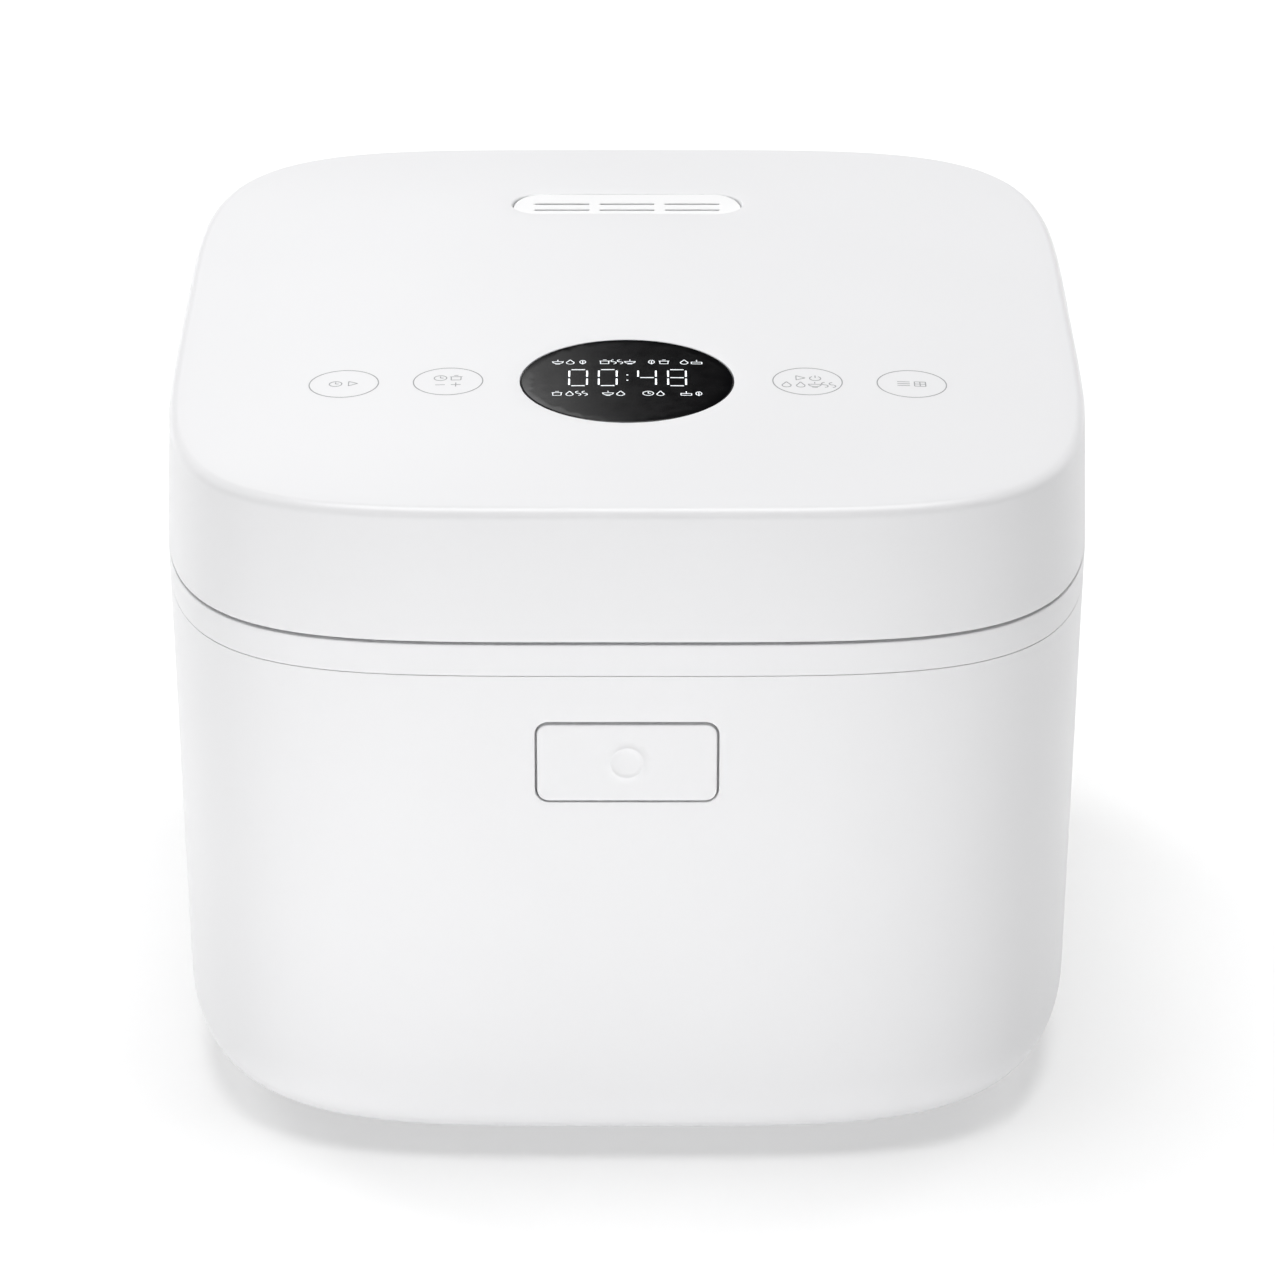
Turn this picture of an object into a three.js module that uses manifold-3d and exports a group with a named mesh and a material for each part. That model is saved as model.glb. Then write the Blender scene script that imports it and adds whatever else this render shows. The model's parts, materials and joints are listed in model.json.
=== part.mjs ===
// A countertop rice cooker: a rounded square body with a hinged lid, a non-stick pot on a cast heating plate,
// a push button that frees the lid's latch, and a steam valve that lifts out of the lid.
// Millimetres, +Z up, front at -Y, +X to the right of someone facing the front. The origin lies under the middle
// of the object's box, on the surface that the feet stand on.
import * as THREE from "three";
import { mergeVertices } from "three/addons/utils/BufferGeometryUtils.js";
import Module from "manifold-3d";

const wasm = await Module();
wasm.setup();

// ---------------------------------------------------------------- driving dimensions

const HALF_WIDTH = 130; // at the parting line, where the cooker is widest
const HALF_DEPTH = 142.8;
const FLOOR_Z = 4; // underside of the body, lifted by the feet
const SEAM_Z = 162.5; // parting line between body and lid
const LID_SIDE = 38.6; // parting line up to the lid's top edge
const CROWN = 3.4; // rise of the lid's top from its edge to its middle
const LID_DRAFT = 1.6;
const SIDE_DRAFT = 1.75;
const FRONT_DRAFT = 2.2;
const ROUND_HEIGHT = 22; // the body's rounded foot
const ROUND_INSET = 18;
const SQUARENESS = { base: 4.15, seam: 4.5, top: 4.7 }; // exponents of the rounded square outline
const WALL = 2.5;
const GAP = 0.3; // between pieces that touch
const PARTING = 0.4; // half of the open line between lid and body
const BAND = 9.7; // height of the collar's visible band
const SEGMENTS = 40; // steps round the outlines, closer together at their corners
const TURNED = 28; // steps round the turned parts
const FACE = { near: 130, far: 150 }; // range of y, from the middle, that spans the front or back wall
const SCREW_HOLE = 1.9;

const HINGE = { y: 149.5, z: 166, pin: 2, knuckle: 5, housing: 5.7, half: 56, slot: [29, 43] };
const HINGE_FOOT = [118, 121, 126]; // heights of the housing's chamfered underside
const BRACKET = { front: 113, back: 138, half: 46, bottom: 165.7, plate: 2, arm: 4.3 };
const BRACKET_SCREWS = { x: [-38, 38], y: 124, hole: 1.6 };
const HINGE_BACK = HINGE.y + HINGE.housing;
const CENTRE_Y = -(HINGE_BACK - HALF_DEPTH) / 2; // brings the whole box's middle to y = 0

const POT = { inner: 100, wall: 2, flange: 112, bottom: 48, corner: 22, rimZ: 162.8, rim: 2 };
const DECK_Z = 160.5; // top of the collar's deck, where the pot's flange rests
const COLLAR = { mouth: 103.6, skirt: 1.2, skirtZ: 150, deck: 2.3, rim: 3, spigot: 4 };
const HOUSING = { inner: 106, wall: 1, bottom: 30, top: 157.8, hole: 45, corner: 8 };
const PLATE = { radius: 80, hole: 18, bottom: 38.5, top: 47.7, groove: 60.1, tube: 4 };
const HEATER_POSTS = { radius: 3.5, circle: 73 };
const SENSOR = { cap: 16.5, stem: 5, top: 47.6, bottom: 30, under: 44.9 };
const STRAP = { bottom: 33, top: 34.2, half: 31.2, width: 8, leg: 1.2 };
const LEDGE = { outer: 22, inner: 32, bottom: 6.8, top: 9.3 }; // insets and heights of what the base cover screws to
const BASE = { top: 6.5, screwHead: 5.2, countersink: 3.9, footHole: 3, slot: [56, 3.2], pitch: 10 };
const BOARD = { bottom: 11.3, top: 12.9 };

const BUTTON = { width: 49, height: 23.2, corner: 3.2, line: 0.6, drop: 0.2, z: SEAM_Z - 36 };
const FLANGE = { half: 27, height: 14, front: 3.1, back: 5 }; // keeps the button in, behind the wall
const LATCH = { y: -127, z: 147, width: 12, pin: 1.5 };
const CATCH_Y = -122; // front edge of the lid's catch

const DISPLAY = { radius: 29.7, y: -57.6 };
const KEYS_X = [-79.5, -50.3, 50.3, 79.5];
const STEAM = { width: 68.8, depth: 17, y: 83.6, z: 202.6, slot: [16.6, 0.9], pitch: 19.7, rows: [2.5, -1.2] };
const STEAM_FALL = 2.4; // the cap's top slopes down by this much towards the front
const WELL = { width: 73, depth: 21.2, wall: 1.6, top: 200.4, drain: 5 };
const LINER_CEILING = 176;
const LINER = { plate: 2, rim: 2.2, edge: 0.4 };
const CONTROL_BOARD = { z: 191.5, thickness: 1.6, half: 88, front: -80, back: -34 };
const ON_CONTROL_BOARD = CONTROL_BOARD.z + CONTROL_BOARD.thickness + GAP;
const PROBE_Y = -45;

const INLET = { z: 44, width: 27.4, height: 19.4, mouth: [24.4, 16.4], back: 120, flange: [33, 25, 2.5] };
const BLADE = { half: [1, 2], length: 20.5, hole: [1.3, 2.3] };
const SCREWS = [[86, 95.6], [-86, 95.6], [86, -95.6], [-86, -95.6]];
const FEET = [[70, 80], [-70, 80], [70, -80], [-70, -80]];

// ---------------------------------------------------------------- geometry helpers

/** Signed volume of a closed indexed geometry. */
function volumeOf(geometry) {
  const p = geometry.attributes.position;
  const [a, b, c] = [new THREE.Vector3(), new THREE.Vector3(), new THREE.Vector3()];
  let sum = 0;
  for (let i = 0; i < geometry.index.count; i += 3) {
    a.fromBufferAttribute(p, geometry.index.getX(i));
    b.fromBufferAttribute(p, geometry.index.getX(i + 1));
    c.fromBufferAttribute(p, geometry.index.getX(i + 2));
    sum += a.dot(b.cross(c)) / 6;
  }
  return sum;
}

/** The geometry with its shared vertices merged, its collapsed faces dropped and its faces pointing out. */
function closed(geometry) {
  const bare = geometry.clone();
  bare.deleteAttribute("normal");
  bare.deleteAttribute("uv");
  const merged = mergeVertices(bare, 1e-3);
  const kept = [];
  const index = merged.index.array;
  for (let i = 0; i < index.length; i += 3) {
    const [a, b, c] = [index[i], index[i + 1], index[i + 2]];
    if (a !== b && b !== c && a !== c) kept.push(a, b, c);
  }
  merged.setIndex(kept);
  if (volumeOf(merged) < 0) {
    for (let i = 0; i < kept.length; i += 3) [kept[i + 1], kept[i + 2]] = [kept[i + 2], kept[i + 1]];
    merged.setIndex(kept);
  }
  return merged;
}

function solidOf(geometry) {
  const g = closed(geometry);
  const mesh = new wasm.Mesh({
    numProp: 3,
    vertProperties: new Float32Array(g.attributes.position.array),
    triVerts: new Uint32Array(g.index.array),
  });
  return new wasm.Manifold(mesh);
}

function geometryOf(solid) {
  const mesh = solid.getMesh();
  const g = new THREE.BufferGeometry();
  g.setAttribute("position", new THREE.BufferAttribute(new Float32Array(mesh.vertProperties), 3));
  g.setIndex(new THREE.BufferAttribute(new Uint32Array(mesh.triVerts), 1));
  return g;
}

const cut = (geometry, ...tools) =>
  geometryOf(tools.reduce((solid, tool) => solid.subtract(solidOf(tool)), solidOf(geometry)));
const join = (geometry, ...others) =>
  geometryOf(others.reduce((solid, other) => solid.add(solidOf(other)), solidOf(geometry)));
const common = (a, b) => geometryOf(solidOf(a).intersect(solidOf(b)));

/** A closed skin through rings of points: round the last ring to the first, or capped at both ends. */
function loft(rings, capped = false) {
  const count = rings[0].length;
  const points = rings.flat();
  const index = [];
  const last = capped ? rings.length - 1 : rings.length;
  for (let r = 0; r < last; r += 1) {
    const next = (r + 1) % rings.length;
    for (let i = 0; i < count; i += 1) {
      const j = (i + 1) % count;
      const [a, b, c, d] = [r * count + i, r * count + j, next * count + i, next * count + j];
      index.push(a, b, d, a, d, c);
    }
  }
  if (capped) {
    for (const end of [0, rings.length - 1]) {
      const ring = rings[end];
      const middle = ring.reduce((sum, p) => sum.add(p), new THREE.Vector3()).divideScalar(count);
      const hub = points.push(middle) - 1;
      for (let i = 0; i < count; i += 1) {
        const [a, b] = [end * count + i, end * count + ((i + 1) % count)];
        if (end === 0) index.push(hub, b, a);
        else index.push(hub, a, b);
      }
    }
  }
  return new THREE.BufferGeometry().setFromPoints(points).setIndex(index);
}

/** A ring of the outline |x/a|^n + |y/b|^n = 1 at height z. */
function rounded(a, b, n, z) {
  return Array.from({ length: SEGMENTS }, (_, i) => {
    const even = (2 * Math.PI * i) / SEGMENTS;
    const angle = even + 0.13 * Math.sin(4 * even);
    const [c, s] = [Math.cos(angle), Math.sin(angle)];
    const radius = (Math.abs(c / a) ** n + Math.abs(s / b) ** n) ** (-1 / n);
    return new THREE.Vector3(radius * c, radius * s, z);
  });
}

const circle = (radius, z) => rounded(radius, radius, 2, z);

/** The cooker's outer outline at height z: its half sizes and its squareness. */
function section(z) {
  if (z >= SEAM_Z) {
    const t = (z - SEAM_Z) / LID_SIDE;
    const inset = LID_DRAFT * t;
    const n = SQUARENESS.seam + (SQUARENESS.top - SQUARENESS.seam) * t;
    return { a: HALF_WIDTH - inset, b: HALF_DEPTH - inset, n };
  }
  const t = Math.min((SEAM_Z - z) / (SEAM_Z - FLOOR_Z - ROUND_HEIGHT), 1);
  const n = SQUARENESS.seam + (SQUARENESS.base - SQUARENESS.seam) * t;
  return { a: HALF_WIDTH - SIDE_DRAFT * t, b: HALF_DEPTH - FRONT_DRAFT * t, n };
}

/** The outer outline at height z, moved in by inset, as a ring. */
function outline(z, inset = 0, at = z) {
  const { a, b, n } = section(at);
  return rounded(a - inset, b - inset, n, z);
}

/** A ring of the body's rounded foot, from 0 degrees at the side to 90 at the underside, moved in by offset. */
function footRing(degrees, offset = 0) {
  const angle = THREE.MathUtils.degToRad(degrees);
  const inset = ROUND_INSET - (ROUND_INSET - offset) * Math.cos(angle);
  const z = FLOOR_Z + ROUND_HEIGHT - (ROUND_HEIGHT - offset) * Math.sin(angle);
  return outline(z, inset, FLOOR_Z + ROUND_HEIGHT);
}

function box(x0, x1, y0, y1, z0, z1) {
  const g = new THREE.BoxGeometry(x1 - x0, y1 - y0, z1 - z0);
  return g.translate((x0 + x1) / 2, (y0 + y1) / 2, (z0 + z1) / 2);
}

/** An upright cylinder. */
function post(radius, z0, z1, x = 0, y = 0, sides = 20) {
  const g = new THREE.CylinderGeometry(radius, radius, z1 - z0, sides);
  return g.rotateX(Math.PI / 2).translate(x, y, (z0 + z1) / 2);
}

/** A cylinder along X. */
function rod(radius, x0, x1, y, z, sides = 20) {
  const g = new THREE.CylinderGeometry(radius, radius, x1 - x0, sides);
  return g.rotateZ(Math.PI / 2).translate((x0 + x1) / 2, y, z);
}

/** A body of revolution about a vertical axis, from [radius, z] points that close on themselves. */
function turned(profile, segments = TURNED) {
  const points = profile.map(([r, z]) => new THREE.Vector2(r, z));
  const first = points[0];
  if (first.x > 0) points.push(first.clone());
  return new THREE.LatheGeometry(points, segments).rotateX(Math.PI / 2);
}

/** A closed shape in the XY plane, raised from z0 to z1. */
function slab(shape, z0, z1, curveSegments = 4) {
  const g = new THREE.ExtrudeGeometry(shape, { depth: z1 - z0, bevelEnabled: false, curveSegments });
  return g.translate(0, 0, z0);
}

/** A rectangle with round corners about the origin. */
function roundedRectangle(width, height, radius) {
  const [x, y] = [width / 2, height / 2];
  const shape = new THREE.Shape();
  shape.absarc(x - radius, y - radius, radius, 0, Math.PI / 2);
  shape.absarc(-x + radius, y - radius, radius, Math.PI / 2, Math.PI);
  shape.absarc(-x + radius, -y + radius, radius, Math.PI, 1.5 * Math.PI);
  shape.absarc(x - radius, -y + radius, radius, 1.5 * Math.PI, 2 * Math.PI);
  return shape;
}

const stadium = (width, height) => roundedRectangle(width, height, height / 2);

/** A shape in the XZ plane, pushed from y0 to y1, about the height z. */
function wallSlab(shape, y0, y1, z) {
  return slab(shape, 0, y1 - y0).rotateX(Math.PI / 2).translate(0, y1, z);
}

/** A [y, z] outline, pushed along X over the width. */
function profileSlab(points, x0, x1) {
  const shape = new THREE.Shape(points.map(([y, z]) => new THREE.Vector2(y, z)));
  const g = slab(shape, 0, x1 - x0);
  // shape x, y and depth become y, z and x
  return g.applyMatrix4(new THREE.Matrix4().set(0, 0, 1, x0, 1, 0, 0, 0, 0, 1, 0, 0, 0, 0, 0, 1));
}

/** A coil spring's centre line: its radius may change, and straight ends leave it along its tangents. */
class CoilLine extends THREE.Curve {
  constructor({ radius, endRadius = radius, height, turns, legs = [0, 0] }) {
    super();
    Object.assign(this, { radius, endRadius, height, turns, legs });
    this.coilLength = Math.hypot(height, 2 * Math.PI * turns * ((radius + endRadius) / 2));
    this.total = this.coilLength + legs[0] + legs[1];
  }

  onCoil(t) {
    const angle = 2 * Math.PI * this.turns * t;
    const r = THREE.MathUtils.lerp(this.radius, this.endRadius, t);
    return new THREE.Vector3(r * Math.cos(angle), r * Math.sin(angle), this.height * t);
  }

  getPoint(t) {
    const along = t * this.total - this.legs[0];
    const step = 1e-3;
    if (along < 0) {
      const direction = this.onCoil(0).sub(this.onCoil(step)).normalize();
      return this.onCoil(0).addScaledVector(direction, -along);
    }
    if (along > this.coilLength) {
      const direction = this.onCoil(1).sub(this.onCoil(1 - step)).normalize();
      return this.onCoil(1).addScaledVector(direction, along - this.coilLength);
    }
    return this.onCoil(along / this.coilLength);
  }
}

/** Wire of a polygonal section along a curve. */
function wire(curve, radius, steps, sides = 5) {
  const corners = Array.from({ length: sides }, (_, i) => {
    const angle = (2 * Math.PI * i) / sides;
    return new THREE.Vector2(radius * Math.cos(angle), radius * Math.sin(angle));
  });
  const section = new THREE.Shape(corners);
  return new THREE.ExtrudeGeometry(section, { extrudePath: curve, steps, bevelEnabled: false });
}

const coil = (size, radius) => wire(new CoilLine(size), radius, Math.ceil(size.turns * 8));

// ---------------------------------------------------------------- materials

const material = (color, roughness, metalness = 0) =>
  new THREE.MeshStandardMaterial({ color, roughness, metalness });

const whiteGloss = material(0xf1f1f3, 0.3);
const whiteSatin = material(0xe6e6e8, 0.5);
const greySatin = material(0xb9bbbe, 0.55);
const blackGlass = material(0x0a0a0c, 0.08);
const blackPlastic = material(0x1b1b1d, 0.5);
const nonStick = material(0x2b2b2e, 0.45, 0.3);
const castMetal = material(0xb4b6b8, 0.5, 0.9);
const sheetMetal = material(0xc3c6c9, 0.35, 0.9);
const springSteel = material(0x8f9397, 0.3, 1);
const brass = material(0xc9a24a, 0.3, 1);
const silicone = material(0xd8dadb, 0.6);
const rubber = material(0x55585b, 0.85);
const boardGreen = material(0x1f5a37, 0.5);
const relayBlue = material(0x23508c, 0.5);
const amber = material(0xb8912b, 0.5);

function mesh(name, geometry, finish, x = 0, y = 0, z = 0) {
  const made = new THREE.Mesh(geometry, finish);
  made.name = name;
  made.position.set(x, y, z);
  return made;
}

// ---------------------------------------------------------------- body

/** Outer shell: a tapered sleeve with a rounded foot and a ledge that the base cover screws to. */
function outerShell() {
  const top = SEAM_Z - BAND - GAP / 2;
  const foot = [90, 60, 30, 0].map((angle) => footRing(angle));
  const inside = [0, 45].map((angle) => footRing(angle, WALL));
  const ledge = (inset, z) => outline(z, inset, FLOOR_Z + ROUND_HEIGHT);
  const skin = loft([
    ledge(LEDGE.outer, FLOOR_Z),
    ...foot,
    outline(top),
    outline(top, WALL),
    ...inside,
    ledge(LEDGE.inner, LEDGE.top),
    ledge(LEDGE.inner, LEDGE.bottom),
    ledge(LEDGE.outer, LEDGE.bottom),
  ]);
  const line = 2 * BUTTON.line;
  const frame = roundedRectangle(BUTTON.width + line, BUTTON.height + line, BUTTON.corner + BUTTON.line);
  const window = wallSlab(frame, -FACE.far, -FACE.near, BUTTON.z + BUTTON.drop);
  const socket = inletShape(INLET.width + 2 * GAP, INLET.height + 2 * GAP);
  const inlet = wallSlab(socket, FACE.near, FACE.far, INLET.z);
  const holes = SCREWS.map(([x, y]) => post(SCREW_HOLE, 0, LEDGE.top + 1, x, y, 8));
  return mesh("outer_shell", cut(skin, window, inlet, ...holes), whiteGloss);
}

/** Collar: the body's top band with the deck that carries the pot's flange. */
function bodyCollar() {
  const bottom = SEAM_Z - BAND + GAP / 2;
  const top = SEAM_Z - PARTING;
  const { mouth, skirt, skirtZ, deck, rim, spigot } = COLLAR;
  const deckUnder = DECK_Z - deck;
  const spigotInset = 2 * WALL + 0.2;
  const skin = loft([
    outline(bottom),
    outline(top),
    outline(top, rim),
    outline(DECK_Z, rim + 1.5),
    circle(mouth, DECK_Z),
    circle(mouth, skirtZ),
    circle(mouth + skirt, skirtZ),
    circle(mouth + skirt, deckUnder),
    outline(deckUnder, spigotInset),
    outline(bottom - spigot, spigotInset),
    outline(bottom - spigot, WALL + GAP),
    outline(bottom, WALL + GAP),
  ]);
  const latchSlot = box(-9, 9, -136, -119.5, 146, 164);
  return mesh("body_collar", cut(skin, latchSlot), whiteGloss);
}

/** Inner housing: the drawn metal bucket round the pot. */
function innerHousing() {
  const { inner, wall, bottom, top, hole, corner } = HOUSING;
  const profile = [
    [hole, bottom],
    [inner - corner, bottom],
    [inner + wall, bottom + corner + wall],
    [inner + wall, top],
    [inner, top],
    [inner, bottom + corner + 1.4 * wall],
    [inner - corner - 0.4 * wall, bottom + wall],
    [hole, bottom + wall],
  ];
  return mesh("inner_housing", turned(profile), sheetMetal);
}

/** Cooking pot: a drawn bowl with a turned-out flange. */
function innerPot() {
  const { inner, wall, flange, bottom, corner, rimZ, rim } = POT;
  const outer = inner + wall;
  const draft = 1.5;
  const bend = (radius, z0) =>
    [0, 30, 60, 90].map((degrees) => {
      const angle = THREE.MathUtils.degToRad(degrees);
      return [radius - draft - corner + corner * Math.sin(angle), z0 + corner - corner * Math.cos(angle)];
    });
  const profile = [
    [0, bottom],
    ...bend(outer, bottom),
    [outer, rimZ - rim],
    [flange, rimZ - rim],
    [flange, rimZ],
    [inner + 1.2, rimZ],
    [inner, rimZ - 1.2],
    ...bend(inner, bottom + wall).reverse(),
    [0, bottom + wall],
  ];
  return mesh("inner_pot", turned(profile), nonStick);
}

/** Heating plate: a cast disc with a groove under it for the tubular element. */
function heatingPlate() {
  const { radius, hole, bottom, top, groove, tube } = PLATE;
  const width = tube + GAP;
  const profile = [
    [hole, bottom],
    [groove - width, bottom],
    [groove - width, bottom + 5.5],
    [groove + width, bottom + 5.5],
    [groove + width, bottom],
    [radius, bottom],
    [radius, top],
    [hole, top],
  ];
  return mesh("heating_plate", turned(profile), castMetal);
}

/** Tubular element: nearly a full ring, its two cold ends turned down behind. */
function heatingElement() {
  const { groove, bottom, tube } = PLATE;
  const z = bottom + 1.2;
  const open = THREE.MathUtils.degToRad(14);
  class RingLine extends THREE.Curve {
    getPoint(t) {
      const angle = Math.PI / 2 + open + (2 * Math.PI - 2 * open) * t;
      return new THREE.Vector3(groove * Math.cos(angle), groove * Math.sin(angle), z);
    }
  }
  const ring = wire(new RingLine(), tube, 24, 6);
  const ends = [open + 0.05, -open - 0.05].map((turn) => {
    const angle = Math.PI / 2 + turn;
    return post(2, 32, z, groove * Math.cos(angle), groove * Math.sin(angle), 8);
  });
  return mesh("heating_element", join(ring, ...ends), sheetMetal);
}

function heaterPosts() {
  return [90, 210, 330].map((degrees, i) => {
    const angle = THREE.MathUtils.degToRad(degrees);
    const z0 = HOUSING.bottom + HOUSING.wall + GAP;
    const geometry = post(HEATER_POSTS.radius, z0, PLATE.bottom - GAP, 0, 0, 8);
    const [x, y] = [Math.cos(angle), Math.sin(angle)].map((v) => v * HEATER_POSTS.circle);
    return mesh(`heater_post_${i + 1}`, geometry, castMetal, x, y);
  });
}

/** Thermostat button, pressed down by the pot, with its strap and spring. */
function sensor() {
  const { cap, stem, top, bottom, under } = SENSOR;
  const button = turned([
    [0, bottom],
    [stem, bottom],
    [stem, under],
    [cap, under],
    [cap, top],
    [0, top],
  ], 24);
  const { half, width, leg } = STRAP;
  const legTop = PLATE.bottom - GAP;
  const strap = join(
    box(-half, half, -width, width, STRAP.bottom, STRAP.top),
    box(-half, leg - half, -width, width, STRAP.bottom + 1, legTop),
    box(half - leg, half, -width, width, STRAP.bottom + 1, legTop),
  );
  const stemHole = post(stem + 0.5, STRAP.bottom - 1, STRAP.top + 1, 0, 0, 12);
  const wireRadius = 0.6;
  const clear = wireRadius + GAP;
  const spring = coil({ radius: 8, height: under - STRAP.top - 2 * clear, turns: 4 }, wireRadius);
  return {
    cap: mesh("sensor_cap", button, castMetal),
    spring: mesh("sensor_spring", spring, springSteel, 0, 0, STRAP.top + clear),
    strap: mesh("sensor_strap", cut(strap, stemHole), sheetMetal),
  };
}

function thermalFuse() {
  const radius = 2.5;
  const z = PLATE.bottom - GAP - radius;
  return mesh("thermal_fuse", rod(radius, -9, 9, -40, z, 10), whiteSatin);
}

/** Power board and what stands on it. */
function powerElectronics() {
  const board = box(-75, 15, -90, -35, BOARD.bottom, BOARD.top);
  const on = BOARD.top + GAP;
  return [
    mesh("power_board", board, boardGreen),
    mesh("relay", box(-70, -50, -84, -68, on, on + 15), relayBlue),
    mesh("transformer", box(-42, -20, -84, -64, on, on + 14), amber),
    mesh("capacitor", post(6, on, on + 13, -5, -74, 12), blackPlastic),
    mesh("terminal_block", box(-14, 10, -50, -41, on, on + 10), whiteSatin),
  ];
}

/** Base cover: a plate with air slots, set flush into the shell's foot, with posts for the power board. */
function baseCover() {
  const { top, screwHead, countersink, footHole, slot, pitch } = BASE;
  const ring = (z) => outline(z, LEDGE.outer + GAP, FLOOR_Z + ROUND_HEIGHT);
  const plate = loft([ring(FLOOR_Z), ring(top)], true);
  const posts = [[-70, -85], [10, -85], [-70, -40], [10, -40]].map(([x, y]) =>
    post(3, top - 1, BOARD.bottom - GAP, x, y, 8),
  );
  const [halfLength, halfWidth] = slot.map((v) => v / 2);
  const slots = Array.from({ length: 8 }, (_, i) => {
    const y = (i - 2) * pitch;
    return box(-halfLength, halfLength, y - halfWidth, y + halfWidth, 0, top + 1);
  });
  const screwHoles = SCREWS.flatMap(([x, y]) => [
    post(SCREW_HOLE, 0, top + 1, x, y, 8),
    post(countersink, 0, screwHead, x, y, 8),
  ]);
  const footHoles = FEET.map(([x, y]) => post(footHole, 0, top + 2, x, y, 8));
  return mesh("base_cover", cut(join(plate, ...posts), ...slots, ...screwHoles, ...footHoles), whiteSatin);
}

function baseScrews() {
  // the head sits in a counterbore, just above the underside
  const profile = [[0, 4.1], [3.2, 4.1], [3.2, 4.9], [1.5, 4.9], [1.5, 13], [0, 13]];
  return SCREWS.map(([x, y], i) => mesh(`base_screw_${i + 1}`, turned(profile, 8), springSteel, x, y));
}

function feet() {
  const profile = [[0, 0], [9, 0], [9, 3.7], [2.6, 3.7], [2.6, 8], [0, 8]];
  return FEET.map(([x, y], i) => mesh(`foot_${i + 1}`, turned(profile, 14), rubber, x, y));
}

/** The inlet's outline: a rectangle with its two upper corners cut off. */
function inletShape(width, height) {
  const [x, y, chamfer] = [width / 2, height / 2, 4.5];
  const shape = new THREE.Shape();
  shape.moveTo(-x, -y);
  shape.lineTo(x, -y);
  shape.lineTo(x, y - chamfer);
  shape.lineTo(x - chamfer, y);
  shape.lineTo(-x + chamfer, y);
  shape.lineTo(-x, y - chamfer);
  return shape;
}

/** Mains inlet at the back, with its three blades. */
function inlet() {
  const wallY = section(INLET.z).b;
  const flange = wallSlab(roundedRectangle(...INLET.flange), wallY + GAP, wallY + 2.1, INLET.z);
  const shell = wallSlab(inletShape(INLET.width, INLET.height), INLET.back, wallY + 1, INLET.z);
  const mouth = wallSlab(inletShape(...INLET.mouth), INLET.back + 3, wallY + 3, INLET.z);
  const blades = { live: [-7, 2], neutral: [7, 2], earth: [0, -2] };
  const { half: [halfX, halfZ], length, hole: [holeX, holeZ] } = BLADE;
  const tools = Object.values(blades).map(([x, z]) =>
    box(x - holeX, x + holeX, INLET.back - 1, INLET.back + 4, INLET.z + z - holeZ, INLET.z + z + holeZ),
  );
  const start = INLET.back - 6;
  const pins = Object.entries(blades).map(([name, [x, z]]) => {
    const geometry = box(-halfX, halfX, start, start + length, -halfZ, halfZ);
    return mesh(`inlet_pin_${name}`, geometry, brass, x, 0, INLET.z + z);
  });
  return [mesh("inlet_socket", cut(join(flange, shell), mouth, ...tools), blackPlastic), ...pins];
}

// ---------------------------------------------------------------- hinge

/** Hinge housing: a bump on the body's back that holds the hinge pin between its lugs. */
function hingeHousing() {
  const { y, z, housing, half, slot } = HINGE;
  const dome = Array.from({ length: 7 }, (_, i) => {
    const angle = (Math.PI * i) / 6;
    return [y + housing * Math.cos(angle), z + housing * Math.sin(angle)];
  });
  const [low, middle, high] = HINGE_FOOT;
  const front = [[y - housing, SEAM_Z], [HALF_DEPTH - 6, SEAM_Z], [HALF_DEPTH - 6, low]];
  const under = [[HINGE_BACK - 6, low], [HINGE_BACK - 2, middle], [HINGE_BACK, high]];
  const bump = profileSlab([...dome, ...front, ...under], -half, half);
  const body = loft([outline(100, -GAP), outline(SEAM_Z, -GAP), outline(SEAM_Z + 1, -GAP)], true);
  const cutAbove = (x0, x1, back) => box(x0, x1, HALF_DEPTH - 3, back, z - 6.2, z + 8);
  const slots = [-1, 1].map((side) => {
    const [a, b] = slot.map((x) => x * side);
    return cutAbove(Math.min(a, b), Math.max(a, b), HINGE_BACK + 5);
  });
  const pocket = cutAbove(-14, 14, HINGE_BACK - 1.4);
  const bore = rod(HINGE.pin + GAP, -half + 2, half - 2, y, z, 12);
  return mesh("hinge_housing", cut(bump, body, ...slots, pocket, bore), whiteGloss);
}

function hingePin() {
  const length = HINGE.half - 2 - GAP;
  return mesh("hinge_pin", rod(HINGE.pin, -length, length, 0, 0, 12), springSteel, 0, HINGE.y, HINGE.z);
}

/** Torsion spring on the hinge pin, which helps the lid up. */
function hingeSpring() {
  const size = { radius: 3.2, height: 16, turns: 6.5, legs: [4, 4.5] };
  const geometry = wire(new CoilLine(size), 0.6, 46).rotateY(Math.PI / 2).translate(-8, 0, 0);
  return mesh("hinge_spring", geometry, springSteel, 0, HINGE.y, HINGE.z);
}

/** Steel bracket inside the lid, with the two knuckles that turn on the pin. */
function hingeBracket() {
  const { y, z, knuckle, slot, pin } = HINGE;
  const { front, back, half, bottom, plate: thickness, arm } = BRACKET;
  const arms = [-1, 1].flatMap((side) => {
    const [a, b] = slot.map((x) => x * side);
    const [low, high] = [Math.min(a, b) + 2 * GAP, Math.max(a, b) - 2 * GAP];
    return [rod(knuckle, low, high, y, z, 16), box(low, high, back - 4, y, bottom, bottom + arm)];
  });
  const plate = box(-half, half, front, back, bottom, bottom + thickness);
  const bore = rod(pin + GAP, -HINGE.half, HINGE.half, y, z, 12);
  const holes = bracketScrewHoles();
  return mesh("hinge_bracket", cut(join(plate, ...arms), bore, ...holes), sheetMetal);
}

function bracketScrewHoles() {
  const { x, y, hole } = BRACKET_SCREWS;
  return x.map((at) => post(hole, SEAM_Z - 2, BRACKET.bottom + 5, at, y, 8));
}

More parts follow.
